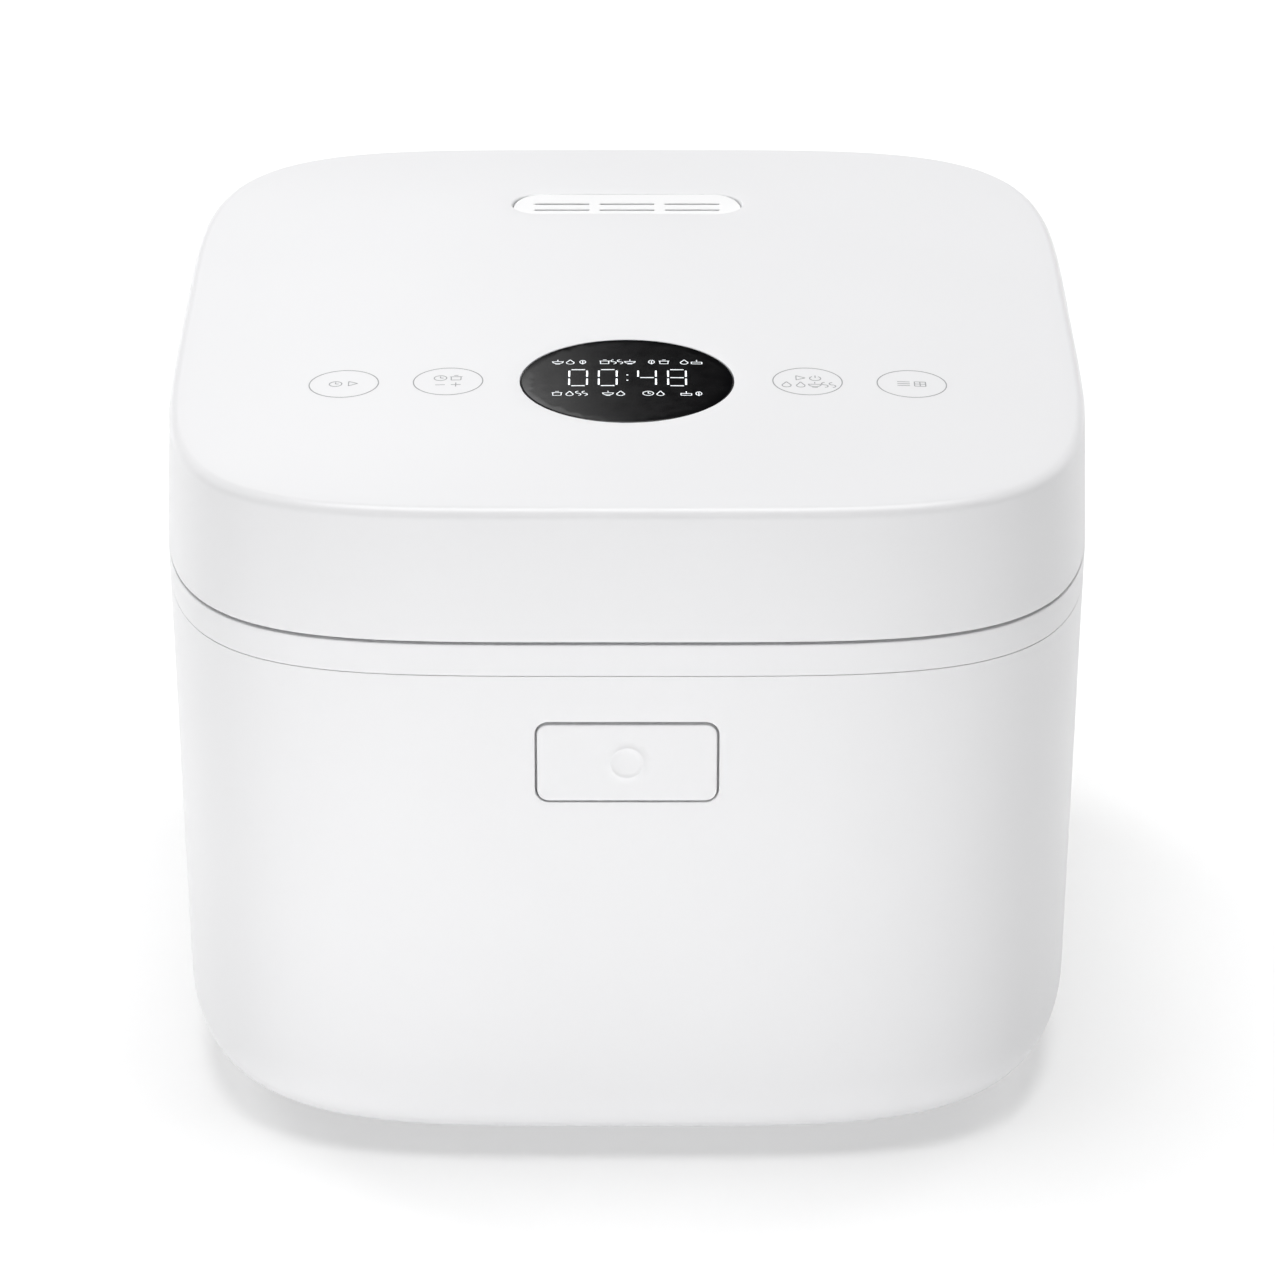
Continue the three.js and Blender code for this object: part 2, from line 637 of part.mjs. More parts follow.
function bracketScrews() {
  const seat = BRACKET.bottom + BRACKET.plate + GAP;
  const [tip, head, shank, headRadius] = [163.6, seat + 1.4, 1.3, 3];
  const profile = [[0, tip], [shank, tip], [shank, seat], [headRadius, seat], [headRadius, head], [0, head]];
  const { x, y } = BRACKET_SCREWS;
  return x.map((at, i) => mesh(`bracket_screw_${i + 1}`, turned(profile, 8), springSteel, at, y));
}

// ---------------------------------------------------------------- release button and latch

/** Release button: its face follows the shell, and a flange behind the wall keeps it in. */
function releaseButton() {
  const { width, height, corner, z } = BUTTON;
  const wallY = section(z).b;
  const block = wallSlab(roundedRectangle(width, height, corner), -wallY - 3, -wallY + 6, z);
  const body = loft([outline(90), outline(155)], true);
  const { half, height: reach, front, back } = FLANGE;
  const flange = box(-half, half, -wallY + front, -wallY + back, z - reach, z + reach);
  const boss = box(-4, 4, -wallY + 4, -132.3, z - 2, z + 1);
  return mesh("release_button", join(common(block, body), flange, boss), whiteGloss);
}

/** Latch hook: its foot is pushed by the button, and its tooth reaches over the lid's catch. */
function latchHook() {
  const { y, z, width, pin } = LATCH;
  const outlinePoints = [
    [-132, 126],
    [-128, 126],
    [-126.5, 141],
    [-123, 144],
    [-123, 150],
    [-125.5, 153],
    [-125.8, 165.8],
    [CATCH_Y - 0.4, 165.8],
    [CATCH_Y - 0.4, 167],
    [-125.5, 169.6],
    [-129.5, 169.6],
    [-129.5, 153],
    [-131, 150],
    [-131, 143],
    [-132, 138],
  ];
  const blank = profileSlab(outlinePoints, -width / 2, width / 2);
  return mesh("latch_hook", cut(blank, rod(pin + GAP, -20, 20, y, z, 12)), greySatin);
}

function latchBracket() {
  const { y, z, pin } = LATCH;
  const back = box(-20, 20, -119, -117, 120, 157.9);
  const ears = [-12.5, 11].map((x) => box(x, x + 1.5, -132.8, -117.5, 139, 157));
  const frame = cut(join(back, ...ears), rod(pin + GAP, -20, 20, y, z, 12));
  return mesh("latch_bracket", frame, whiteSatin);
}

function latchPin() {
  return mesh("latch_pin", rod(LATCH.pin, -14, 14, 0, 0, 12), springSteel, 0, LATCH.y, LATCH.z);
}

function latchSpring() {
  const size = { radius: 2.7, height: 2.8, turns: 2.5, legs: [6, 5] };
  const geometry = wire(new CoilLine(size), 0.4, 26).rotateY(Math.PI / 2).translate(7.2, 0, 0);
  return mesh("latch_spring", geometry, springSteel, 0, LATCH.y, LATCH.z);
}

// ---------------------------------------------------------------- lid

/** Height of the lid's top at a share of the way out from its middle to its edge. */
const crownZ = (share) => SEAM_Z + LID_SIDE + CROWN * (1 - share ** 4);

/** The lid's skin before anything is cut in it. */
function lidSkin() {
  const fillet = 3;
  const bottom = SEAM_Z + PARTING;
  const side = SEAM_Z + LID_SIDE - fillet;
  const edge = [0, 45, 90].map((degrees) => {
    const angle = THREE.MathUtils.degToRad(degrees);
    return outline(side + fillet * Math.sin(angle), fillet * (1 - Math.cos(angle)), side);
  });
  const { a, b, n } = section(side);
  const top = (share, drop) => rounded(a * share, b * share, n, crownZ(share) - drop);
  const shares = [0.92, 0.75, 0.45];
  return loft([
    ...shares.toReversed().map((share) => top(share, WALL)),
    outline(side, WALL, side),
    outline(bottom, WALL),
    outline(bottom),
    ...edge,
    ...shares.map((share) => top(share, 0)),
  ], true);
}

function lidShell(skin) {
  const steam = slab(stadium(STEAM.width + 2 * GAP, STEAM.depth + 2 * GAP), 190, 210).translate(0, STEAM.y, 0);
  const window = post(DISPLAY.radius + GAP, 190, 210, 0, DISPLAY.y, 36);
  const [low, high] = [HINGE.slot[0] - 0.2, HINGE.slot[1] + 0.2];
  const notches = [[-high, -low], [low, high]].map(([x0, x1]) => box(x0, x1, 136, 146, 160, 171.5));
  const posts = [[-84, -76], [84, -76], [-84, -38], [84, -38]].map(([x, y]) =>
    post(2.5, ON_CONTROL_BOARD, 202, x, y, 6),
  );
  return mesh("lid_shell", cut(join(skin, ...posts), steam, window, ...notches), whiteGloss);
}

function displayWindow(skin) {
  const disc = common(skin, post(DISPLAY.radius, 190, 210, 0, DISPLAY.y, 36));
  return mesh("display_window", disc, blackGlass);
}

/** Control board under the lid's skin, with the display block and one sprung contact for each touch key. */
function controlElectronics() {
  const { z: under, thickness, half, front, back } = CONTROL_BOARD;
  const z = ON_CONTROL_BOARD;
  const board = box(-half, half, front, back, under, under + thickness);
  const block = post(28, z, 200, 0, DISPLAY.y, 20);
  const contact = coil({ radius: 5, endRadius: 2.5, height: 5.4, turns: 2.5 }, 0.5);
  const contacts = KEYS_X.map((x, i) =>
    mesh(`touch_contact_${i + 1}`, contact, springSteel, x, DISPLAY.y, z + 0.6),
  );
  return [
    mesh("control_board", board, boardGreen),
    mesh("display_block", block, blackPlastic),
    ...contacts,
  ];
}

/** Lid liner: the lid's inner frame, with a round recess for the inner lid. */
function lidLiner() {
  const bottom = SEAM_Z + PARTING + GAP;
  const [rimTop, top, inset] = [bottom + LINER.rim, LINER_CEILING + LINER.plate, WALL + LINER.edge];
  const skin = loft([
    circle(60, LINER_CEILING),
    circle(104, LINER_CEILING),
    circle(105, bottom),
    outline(bottom, inset),
    outline(rimTop, inset),
    circle(107, rimTop),
    circle(106, top),
    circle(60, top),
  ], true);
  const latch = box(-9, 9, -137, CATCH_Y, 160, 168);
  const steam = post(6, 170, 180, 0, STEAM.y, 12);
  const probe = post(4.5, 170, 180, 0, PROBE_Y, 12);
  const holes = bracketScrewHoles();
  return mesh("lid_liner", cut(skin, latch, steam, probe, ...holes), whiteSatin);
}

/** Inner lid: the thin aluminium plate over the pot, which comes out for washing. */
function innerLid() {
  const dish = turned([
    [0, 169],
    [92, 169],
    [96, 167.6],
    [99.4, 167.6],
    [99.4, 168.6],
    [96.3, 168.6],
    [92.3, 170],
    [0, 170],
  ]);
  const vents = [-6, 0, 6].map((x) => post(2, 166, 172, x, STEAM.y - 2, 8));
  return mesh("inner_lid", cut(dish, ...vents, post(5.6, 166, 172, 0, PROBE_Y, 12)), sheetMetal);
}

/** Silicone seal round the inner lid, with a lip that meets the pot's flange. */
function lidGasket() {
  const low = POT.rimZ + GAP;
  const profile = [
    [101, low],
    [103, low],
    [103.4, 170.6],
    [97, 170.6],
    [97, 168.9],
    [99.8, 168.9],
    [99.8, 167.3],
    [97, 167.3],
    [97, 166],
  ];
  return mesh("lid_gasket", turned(profile), silicone);
}

function lidProbe() {
  const profile = [
    [0, 166.4],
    [4, 166.4],
    [5, 167.2],
    [5, 170.8],
    [7, 170.8],
    [7, 172.2],
    [4, 172.2],
    [4, 182],
    [0, 182],
  ];
  return mesh("lid_probe", turned(profile, 14), sheetMetal, 0, PROBE_Y);
}

/** Steam well: the cup in the lid that the steam valve drops into, and the sleeve that leads up to it. */
function steamWell() {
  const { width, depth, wall, top, drain } = WELL;
  const base = LINER_CEILING + LINER.plate + GAP;
  const cup = slab(stadium(width, depth), base, top).translate(0, STEAM.y, 0);
  const inside = slab(stadium(width - 2 * wall, depth - 2 * wall), base + wall, top + 1).translate(0, STEAM.y, 0);
  const hole = post(drain, base - 1, base + wall + 1, 0, STEAM.y, 12);
  const sleeve = turned([[6.2, 170.3], [9, 170.3], [9, 175.7], [6.2, 175.7]], 16);
  return [
    mesh("steam_well", cut(cup, inside, hole), whiteSatin),
    mesh("steam_sleeve", sleeve, silicone, 0, STEAM.y),
  ];
}

/** Steam valve: a slotted cap sunk towards the front, on a catch box with a float ball over its drain. */
function steamValve() {
  const { width, depth, y, z, slot, pitch, rows } = STEAM;
  const [halfLength, halfWidth] = slot.map((v) => v / 2);
  const blank = slab(stadium(width, depth), 192, 206);
  const slope = Math.atan2(STEAM_FALL, depth);
  const above = new THREE.BoxGeometry(100, 40, 20).translate(0, 0, 10).rotateX(slope);
  const hollow = slab(stadium(width - 4, depth - 4), 190, z - 3.9);
  const slots = rows.flatMap((row) =>
    [-pitch, 0, pitch].map((x) => box(x - halfLength, x + halfLength, row - halfWidth, row + halfWidth, 190, 210)),
  );
  const cap = cut(blank, above.translate(0, 0, z), hollow, ...slots);
  const tray = slab(stadium(66, 14.4), 181, 191.7);
  const catchBox = cut(tray, slab(stadium(63.6, 12), 182.4, 193), post(3, 180, 184, 0, 0, 12));
  const ball = new THREE.SphereGeometry(4, 12, 8).rotateX(Math.PI / 2);
  return {
    cap: mesh("steam_cap", cap, whiteGloss, 0, y),
    box: mesh("steam_box", catchBox, whiteSatin, 0, y),
    ball: mesh("steam_ball", ball, silicone, 0, y, 185.5),
  };
}

// ---------------------------------------------------------------- assembly

function group(...parts) {
  return new THREE.Group().add(...parts);
}

const skin = lidSkin();
const thermostat = sensor();
const valve = steamValve();

const body = group(
  outerShell(),
  bodyCollar(),
  innerHousing(),
  innerPot(),
  heatingPlate(),
  heatingElement(),
  ...heaterPosts(),
  thermostat.strap,
  thermostat.spring,
  thermalFuse(),
  ...powerElectronics(),
  baseCover(),
  ...baseScrews(),
  ...feet(),
  ...inlet(),
  hingeHousing(),
  hingePin(),
  hingeSpring(),
  latchBracket(),
  latchPin(),
  latchSpring(),
);
const lid = group(
  lidShell(skin),
  displayWindow(skin),
  ...controlElectronics(),
  lidLiner(),
  innerLid(),
  lidGasket(),
  lidProbe(),
  ...steamWell(),
  hingeBracket(),
  ...bracketScrews(),
);
const steamInsert = group(valve.cap, valve.box);
const cooker = group(body, lid, steamInsert, valve.ball, thermostat.cap, releaseButton(), latchHook());
cooker.position.y = CENTRE_Y;

export default group(cooker);
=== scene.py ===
"""The looks of a countertop rice cooker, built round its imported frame.

Shapes are worked out in millimetres about the casing's middle, and turned into metres in the frame when a
mesh is made. Heights and places come from the frame's own nodes.
"""

import json
import math

import bmesh
import bpy
import numpy as np
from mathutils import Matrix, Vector
from mathutils.geometry import delaunay_2d_cdt


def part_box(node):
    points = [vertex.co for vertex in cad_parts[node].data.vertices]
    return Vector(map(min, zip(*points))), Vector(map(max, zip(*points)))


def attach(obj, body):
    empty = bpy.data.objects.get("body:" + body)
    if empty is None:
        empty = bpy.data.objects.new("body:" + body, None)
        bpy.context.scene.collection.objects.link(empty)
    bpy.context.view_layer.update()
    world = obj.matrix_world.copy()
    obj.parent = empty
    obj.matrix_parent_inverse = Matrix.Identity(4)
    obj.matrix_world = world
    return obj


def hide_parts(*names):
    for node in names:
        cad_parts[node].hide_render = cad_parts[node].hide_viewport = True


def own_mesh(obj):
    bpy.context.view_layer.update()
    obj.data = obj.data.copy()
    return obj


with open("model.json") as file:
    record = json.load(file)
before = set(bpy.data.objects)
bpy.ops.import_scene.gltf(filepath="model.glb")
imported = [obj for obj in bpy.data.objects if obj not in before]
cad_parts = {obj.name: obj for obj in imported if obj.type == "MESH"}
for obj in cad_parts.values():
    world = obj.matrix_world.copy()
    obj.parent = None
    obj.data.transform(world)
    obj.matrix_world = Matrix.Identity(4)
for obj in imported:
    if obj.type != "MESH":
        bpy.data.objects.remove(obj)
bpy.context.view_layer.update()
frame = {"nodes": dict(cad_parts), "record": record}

# ---------------------------------------------------------------- sizes

MM = 0.001
COUNT = 240  # points round an outline
LID_SIDE = 38.6  # from the seam up to the edge of the lid's top
CROWN = 3.4  # how far the lid's middle stands above that edge
LID_DRAFT, SIDE_DRAFT, FRONT_DRAFT = 1.6, 1.75, 2.2  # how far the walls lean in, in all
FOOT_HEIGHT, FOOT_INSET = 22.0, 18.0  # height and depth of the round under the walls
BASE_N, SEAM_N, TOP_N = 4.15, 4.5, 4.7  # squareness of the outlines
WALL = 2.5
TOP_FILLET = 3.0
SHARP = 35.0  # degrees between two faces from which the edge shows as sharp
BEVEL_FROM = 40.0  # degrees between two faces from which a cut edge is rounded
GAP = 0.3
SLIVER = 2e-3  # square millimetres: a triangle this small lies between points of one straight side

RECORD = frame["record"]
SLOT_OF = {row["node"]: row["material_slot"] for row in RECORD["subparts"]}
BODY_OF = {node: body for body, nodes in RECORD["behaviour"]["bodies"].items() for node in nodes}
CENTRE_Y = sum(corner.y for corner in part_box("lid_shell")) / 2 / MM


def corners(node):
    """Lowest and highest corner of a frame node, in millimetres about the casing's middle."""
    low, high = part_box(node)
    shift = Vector((0, CENTRE_Y, 0))
    return low / MM - shift, high / MM - shift


def middle(node):
    """The middle of a frame node's box, measured like its corners."""
    low, high = corners(node)
    return (low + high) / 2


LID_LOW, LID_HIGH = corners("lid_shell")
COLLAR_LOW, COLLAR_HIGH = corners("body_collar")
SHELL_LOW, SHELL_HIGH = corners("outer_shell")
HALF_WIDTH, HALF_DEPTH = LID_HIGH.x, LID_HIGH.y
SEAM_Z = (LID_LOW.z + COLLAR_HIGH.z) / 2
EDGE_Z = SEAM_Z + LID_SIDE
FLOOR_Z = SHELL_LOW.z
FOOT_Z = FLOOR_Z + FOOT_HEIGHT

# ---------------------------------------------------------------- outlines


def superellipse(a, b, n, z, count=COUNT):
    """Points of |x/a|^n + |y/b|^n = 1 at height z, closer together at its corners."""
    even = np.arange(count) * math.tau / count
    angle = even + 0.13 * np.sin(4 * even)
    c, s = np.cos(angle), np.sin(angle)
    radius = (np.abs(c / a) ** n + np.abs(s / b) ** n) ** (-1 / n)
    return np.column_stack([radius * c, radius * s, np.full(count, float(z))])


def circle(radius, z):
    return superellipse(radius, radius, 2, z)


def disc(radius, x=0.0, y=0.0, count=COUNT):
    """A circle as a plan outline."""
    return superellipse(radius, radius, 2, 0, count)[:, :2] + [x, y]


def section(z):
    """Half width, half depth and squareness of the casing at height z."""
    if z >= SEAM_Z:
        t = (z - SEAM_Z) / LID_SIDE
        inset = LID_DRAFT * t
        return HALF_WIDTH - inset, HALF_DEPTH - inset, SEAM_N + (TOP_N - SEAM_N) * t
    t = min((SEAM_Z - z) / (SEAM_Z - FOOT_Z), 1)
    return HALF_WIDTH - SIDE_DRAFT * t, HALF_DEPTH - FRONT_DRAFT * t, SEAM_N + (BASE_N - SEAM_N) * t


def outline(z, inset=0.0, at=None):
    a, b, n = section(z if at is None else at)
    return superellipse(a - inset, b - inset, n, z)


def face_depth(x, z):
    """How far the casing's front or back face stands from the middle at x and z."""
    a, b, n = section(z)
    return b * (1 - np.abs(np.asarray(x) / a) ** n) ** (1 / n)


EDGE_A, EDGE_B, EDGE_N = section(EDGE_Z - TOP_FILLET)


def crown(x, y):
    """Height of the lid's top."""
    x, y = np.asarray(x) / EDGE_A, np.asarray(y) / EDGE_B
    share = (np.abs(x) ** EDGE_N + np.abs(y) ** EDGE_N) ** (1 / EDGE_N)
    return EDGE_Z + CROWN * (1 - x**2) * (1 - y**4) * (1 - np.minimum(share, 1) ** 12)


def divided(shape, spacing):
    """A closed plan outline with no doubled points and no side longer than spacing."""
    points = []
    for start, end in zip(shape, np.roll(shape, -1, axis=0)):
        length = np.linalg.norm(end - start)
        if length > 1e-6:
            steps = max(1, math.ceil(length / spacing))
            points.extend(start + (end - start) * k / steps for k in range(steps))
    return np.array(points)


def rounded_rectangle(width, height, radius, steps=12, spacing=4.0):
    """Points round a rectangle with round corners, about the origin, in a plane."""
    points = []
    for quarter, (sx, sy) in enumerate(((1, 1), (-1, 1), (-1, -1), (1, -1))):
        for step in range(steps + 1):
            angle = (quarter + step / steps) * math.pi / 2
            x = sx * (width / 2 - radius) + radius * math.cos(angle)
            y = sy * (height / 2 - radius) + radius * math.sin(angle)
            points.append((x, y))
    return divided(np.array(points), spacing)


def stadium(width, height, steps=12, spacing=4.0):
    return rounded_rectangle(width, height, height / 2, steps, spacing)


def grown(shape, by):
    """A plan outline, counterclockwise, with its points moved outwards along its normals."""
    along = np.roll(shape, -1, axis=0) - np.roll(shape, 1, axis=0)
    along /= np.linalg.norm(along, axis=1)[:, None]
    return shape + np.column_stack([along[:, 1], -along[:, 0]]) * by


def level(shape, z):
    """A plan outline as points at height z."""
    return np.column_stack([shape, np.full(len(shape), float(z))])


def fillet(radius, steps=6):
    """Quarter round from a side to the face above it, as pairs of drop below the face and inset."""
    angles = np.radians(np.linspace(0, 90, steps + 1))
    return [(radius * (1 - math.sin(a)), radius * (1 - math.cos(a))) for a in angles]


# ---------------------------------------------------------------- meshes


def inside(points, loops):
    """Which points lie inside an odd number of the loops, in a plane."""
    hit = np.zeros(len(points), bool)
    for loop in loops:
        for (x0, y0), (x1, y1) in zip(loop, np.roll(loop, -1, axis=0)):
            if y0 == y1:
                continue
            between = (y0 > points[:, 1]) != (y1 > points[:, 1])
            cross = x0 + (points[:, 1] - y0) * (x1 - x0) / (y1 - y0)
            hit ^= between & (points[:, 0] < cross)
    return hit


def clearance(points, loop):
    """Distance of each point from the nearest side of a loop, in a plane."""
    side = np.roll(loop, -1, axis=0) - loop
    offset = points[:, None, :] - loop
    share = (offset * side).sum(2) / (side**2).sum(1)
    nearest = np.clip(share, 0, 1)[:, :, None] * side
    return np.linalg.norm(offset - nearest, axis=2).min(1)


def scattered(loops, spacing):
    """Points on a triangular grid inside the first loop and outside the others, clear of their sides."""
    low, high = loops[0].min(0), loops[0].max(0)
    rows = np.arange(low[1], high[1], spacing * math.sqrt(3) / 2)
    grid = []
    for index, y in enumerate(rows):
        x = np.arange(low[0] + (index % 2) * spacing / 2, high[0], spacing)
        grid.append(np.column_stack([x, np.full(len(x), y)]))
    grid = np.concatenate(grid)
    grid = grid[inside(grid, loops)]
    room = np.min([clearance(grid, loop) for loop in loops], axis=0)
    return grid[room > 0.55 * spacing]


class Skin:
    """Points, in millimetres about the casing's middle, and the faces between them."""

    def __init__(self):
        self.points = []
        self.faces = []

    def add(self, points):
        start = len(self.points)
        self.points.extend(tuple(float(v) for v in p) for p in points)
        return list(range(start, len(self.points)))

    def bridge(self, a, b, skip=None):
        """Faces between two rings of equally many points, but where skip(i) says that none go."""
        for i in range(len(a)):
            j = (i + 1) % len(a)
            if skip is None or not skip(i):
                self.faces.append((a[i], a[j], b[j], b[i]))

    def tube(self, rings, close=False):
        """Joins each ring to the next, and if close the last one to the first."""
        ids = [self.add(ring) for ring in rings]
        for a, b in zip(ids, ids[1:] + ids[:1] if close else ids[1:]):
            self.bridge(a, b)
        return ids

    def cap(self, ids):
        self.faces.append(tuple(ids))

    def closed_tube(self, rings):
        """Joins each ring to the next, and closes both ends with a flat face."""
        ids = self.tube(rings)
        self.cap(ids[0])
        self.cap(ids[-1])

    def fill(self, loops, spacing, place, plane=(0, 1)):
        """Triangles between the first loop of points and the holes in it. The loops spread over the two
        coordinates of plane, and place(u, v) gives the points that are added between them."""
        outlines = [np.array([self.points[i] for i in loop])[:, plane] for loop in loops]
        added = scattered(outlines, spacing)
        edges = []
        for loop in loops:
            start = len(edges)
            edges.extend((start + i, start + (i + 1) % len(loop)) for i in range(len(loop)))
        flat = np.concatenate(outlines + [added])
        found = delaunay_2d_cdt([Vector(p) for p in flat], edges, [], 0, 1e-7)
        verts, triangles, origins = np.array(found[0]), found[2], found[3]
        ids = [i for loop in loops for i in loop] + self.add(place(added[:, 0], added[:, 1]))
        triangles = np.array(triangles)
        corner = verts[triangles]
        first, second = corner[:, 1] - corner[:, 0], corner[:, 2] - corner[:, 0]
        area = np.abs(first[:, 0] * second[:, 1] - first[:, 1] * second[:, 0]) / 2
        for triangle in triangles[inside(corner.mean(1), outlines) & (area > SLIVER)]:
            self.faces.append(tuple(ids[origins[v][0]] for v in triangle))

    def turned(self, profile, x=0.0, y=0.0, count=128):
        """A body of revolution from [radius, z] points; the profile closes on itself or ends on the axis."""
        on_axis = profile[0][0] == 0
        rings = profile[1:-1] if on_axis else profile
        angles = np.arange(count) * math.tau / count
        shape = [
            np.column_stack([x + r * np.cos(angles), y + r * np.sin(angles), np.full(count, float(z))])
            for r, z in rings
        ]
        ids = self.tube(shape, close=not on_axis)
        if on_axis:
            for ring, (_, z) in ((ids[0], profile[0]), (ids[-1], profile[-1])):
                hub = self.add([(x, y, z)])[0]
                for i in range(count):
                    self.faces.append((ring[i], ring[(i + 1) % count], hub))

    def prism(self, shape, place, low, high):
        """A closed flat shape, with place(u, v, height) giving its points at the heights low and high."""
        rings = [self.add([place(u, v, h) for u, v in shape]) for h in (low, high)]
        self.bridge(*rings)
        for ring in rings:
            self.cap(ring)


def mesh_object(name, skin):
    """An object of a skin, in metres in the frame."""
    mesh = bpy.data.meshes.new(name)
    points = (np.array(skin.points) + [0, CENTRE_Y, 0]) * MM
    mesh.from_pydata(points.tolist(), [], skin.faces)
    obj = bpy.data.objects.new(name, mesh)
    bpy.context.scene.collection.objects.link(obj)
    finish_mesh(obj)
    return obj


def piece(name, skin, body, finish):
    """Makes an object of a skin and hangs it on its body."""
    obj = mesh_object(name, skin)
    obj.data.materials.append(MATERIALS[finish])
    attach(obj, body)
    return obj


def stand_in(node, skin, finish=None):
    """A piece in place of a frame node, on the node's body and in its slot."""
    slot = SLOT_OF[node]
    obj = piece(f"{node}_skin", skin, BODY_OF[node], finish or slot)
    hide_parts(node)
    return obj


def finish_mesh(obj):
    """Turns the faces outwards and shades them smooth between sharp edges."""
    work = bmesh.new()
    work.from_mesh(obj.data)
    bmesh.ops.remove_doubles(work, verts=work.verts, dist=1e-7)
    bmesh.ops.recalc_face_normals(work, faces=work.faces)
    work.to_mesh(obj.data)
    work.free()
    obj.data.shade_smooth()
    obj.data.set_sharp_from_angle(angle=math.radians(SHARP))


def box_skin(x0, x1, y0, y1, z0, z1):
    skin = Skin()
    shape = [(x0, y0), (x1, y0), (x1, y1), (x0, y1)]
    skin.prism(shape, lambda u, v, h: (u, v, h), z0, z1)
    return skin


def post_skin(radius, x, y, z0, z1, count=40):
    """A round post that stands upright."""
    skin = Skin()
    skin.turned([(0, z0), (radius, z0), (radius, z1), (0, z1)], x, y, count)
    return skin


def carve(obj, skins, bevel=0.0):
    """Cuts closed skins out of an object, and can round the edges that are left."""
    cutters = []
    for skin in skins:
        cutter = mesh_object("cutter", skin)
        modifier = obj.modifiers.new("cut", "BOOLEAN")
        modifier.operation = "DIFFERENCE"
        modifier.solver = "EXACT"
        modifier.object = cutter
        cutters.append(cutter)
    if bevel:
        modifier = obj.modifiers.new("edges", "BEVEL")
        modifier.width = bevel * MM
        modifier.segments = 3
        modifier.limit_method = "ANGLE"
        modifier.angle_limit = math.radians(BEVEL_FROM)
    graph = bpy.context.evaluated_depsgraph_get()
    graph.update()
    mesh = bpy.data.meshes.new_from_object(obj.evaluated_get(graph))
    obj.modifiers.clear()
    obj.data = mesh
    finish_mesh(obj)
    for cutter in cutters:
        bpy.data.objects.remove(cutter)


# ---------------------------------------------------------------- materials


def add_node(tree, kind, **inputs):
    """A shader node with some of its inputs set."""
    node = tree.nodes.new(f"ShaderNode{kind}")
    for key, value in inputs.items():
        node.inputs[key.replace("_", " ")].default_value = value
    return node


MATERIALS = {}


def principled(name, color, roughness, metallic=0.0, **inputs):
    """Begins a material and keeps it by its name. Gives its node tree and its shader."""
    material = bpy.data.materials.new(name)
    material.use_nodes = True
    MATERIALS[name] = material
    shader = material.node_tree.nodes["Principled BSDF"]
    inputs.update(Base_Color=(*color, 1), Roughness=roughness, Metallic=metallic)
    for key, value in inputs.items():
        shader.inputs[key.replace("_", " ")].default_value = value
    return material.node_tree, shader


def mapped(tree, texture, **mapping):
    """Lays a texture over the piece's own coordinates."""
    place = add_node(tree, "TexCoord")
    turn = add_node(tree, "Mapping", **mapping)
    tree.links.new(place.outputs["Object"], turn.inputs["Vector"])
    tree.links.new(turn.outputs["Vector"], texture.inputs["Vector"])


def noise(tree, scale, detail=2.0, stretch=(1, 1, 1)):
    """Noise over the piece itself, scale in features per metre."""
    texture = add_node(tree, "TexNoise", Scale=scale, Detail=detail)
    mapped(tree, texture, Scale=stretch)
    return texture.outputs["Fac"]


def spread(tree, value, low, high, start=0.3, end=0.7):
    """A value of start to end mapped to low to high."""
    node = add_node(tree, "MapRange", From_Min=start, From_Max=end, To_Min=low, To_Max=high)
    tree.links.new(value, node.inputs["Value"])
    return node.outputs["Result"]


def blended(tree, factor, dark, light):
    """A colour between dark and light by a factor of 0 to 1."""
    node = tree.nodes.new("ShaderNodeMix")
    node.data_type = "RGBA"
    node.inputs["A"].default_value = (*dark, 1)
    node.inputs["B"].default_value = (*light, 1)
    tree.links.new(factor, node.inputs["Factor"])
    return node.outputs["Result"]


def tint(tree, value, dark, light):
    """A colour between dark and light by a texture's value."""
    return blended(tree, spread(tree, value, 0, 1), dark, light)


def bump(tree, shader, value, height):
    """Raises the surface by value, height in metres."""
    node = add_node(tree, "Bump", Distance=height, Strength=1.0)
    tree.links.new(value, node.inputs["Height"])
    tree.links.new(node.outputs["Normal"], shader.inputs["Normal"])


def moulded(name, color, roughness, grain=900.0, height=0.000004, drift=0.01, **inputs):
    """Moulded plastic: a fine even grain, slightly uneven gloss and a trace of drift in its colour."""
    tree, shader = principled(name, color, roughness, **inputs)
    slow = noise(tree, 9)
    dark = tuple(c * (1 - drift) for c in color)
    light = tuple(min(c * (1 + drift), 1) for c in color)
    tree.links.new(tint(tree, slow, dark, light), shader.inputs["Base Color"])
    fine = noise(tree, grain, 3)
    tree.links.new(spread(tree, fine, roughness - 0.03, roughness + 0.03), shader.inputs["Roughness"])
    bump(tree, shader, fine, height)


def metal(name, color, roughness, stretch=(1, 1, 1), grain=500.0, height=0.000003):
    """Metal with fine marks drawn along the stretched directions."""
    tree, shader = principled(name, color, roughness, 1.0)
    marks = noise(tree, grain, 4, stretch)
    dark = tuple(c * 0.9 for c in color)
    tree.links.new(tint(tree, marks, dark, color), shader.inputs["Base Color"])
    tree.links.new(spread(tree, marks, roughness - 0.06, roughness + 0.08), shader.inputs["Roughness"])
    bump(tree, shader, marks, height)


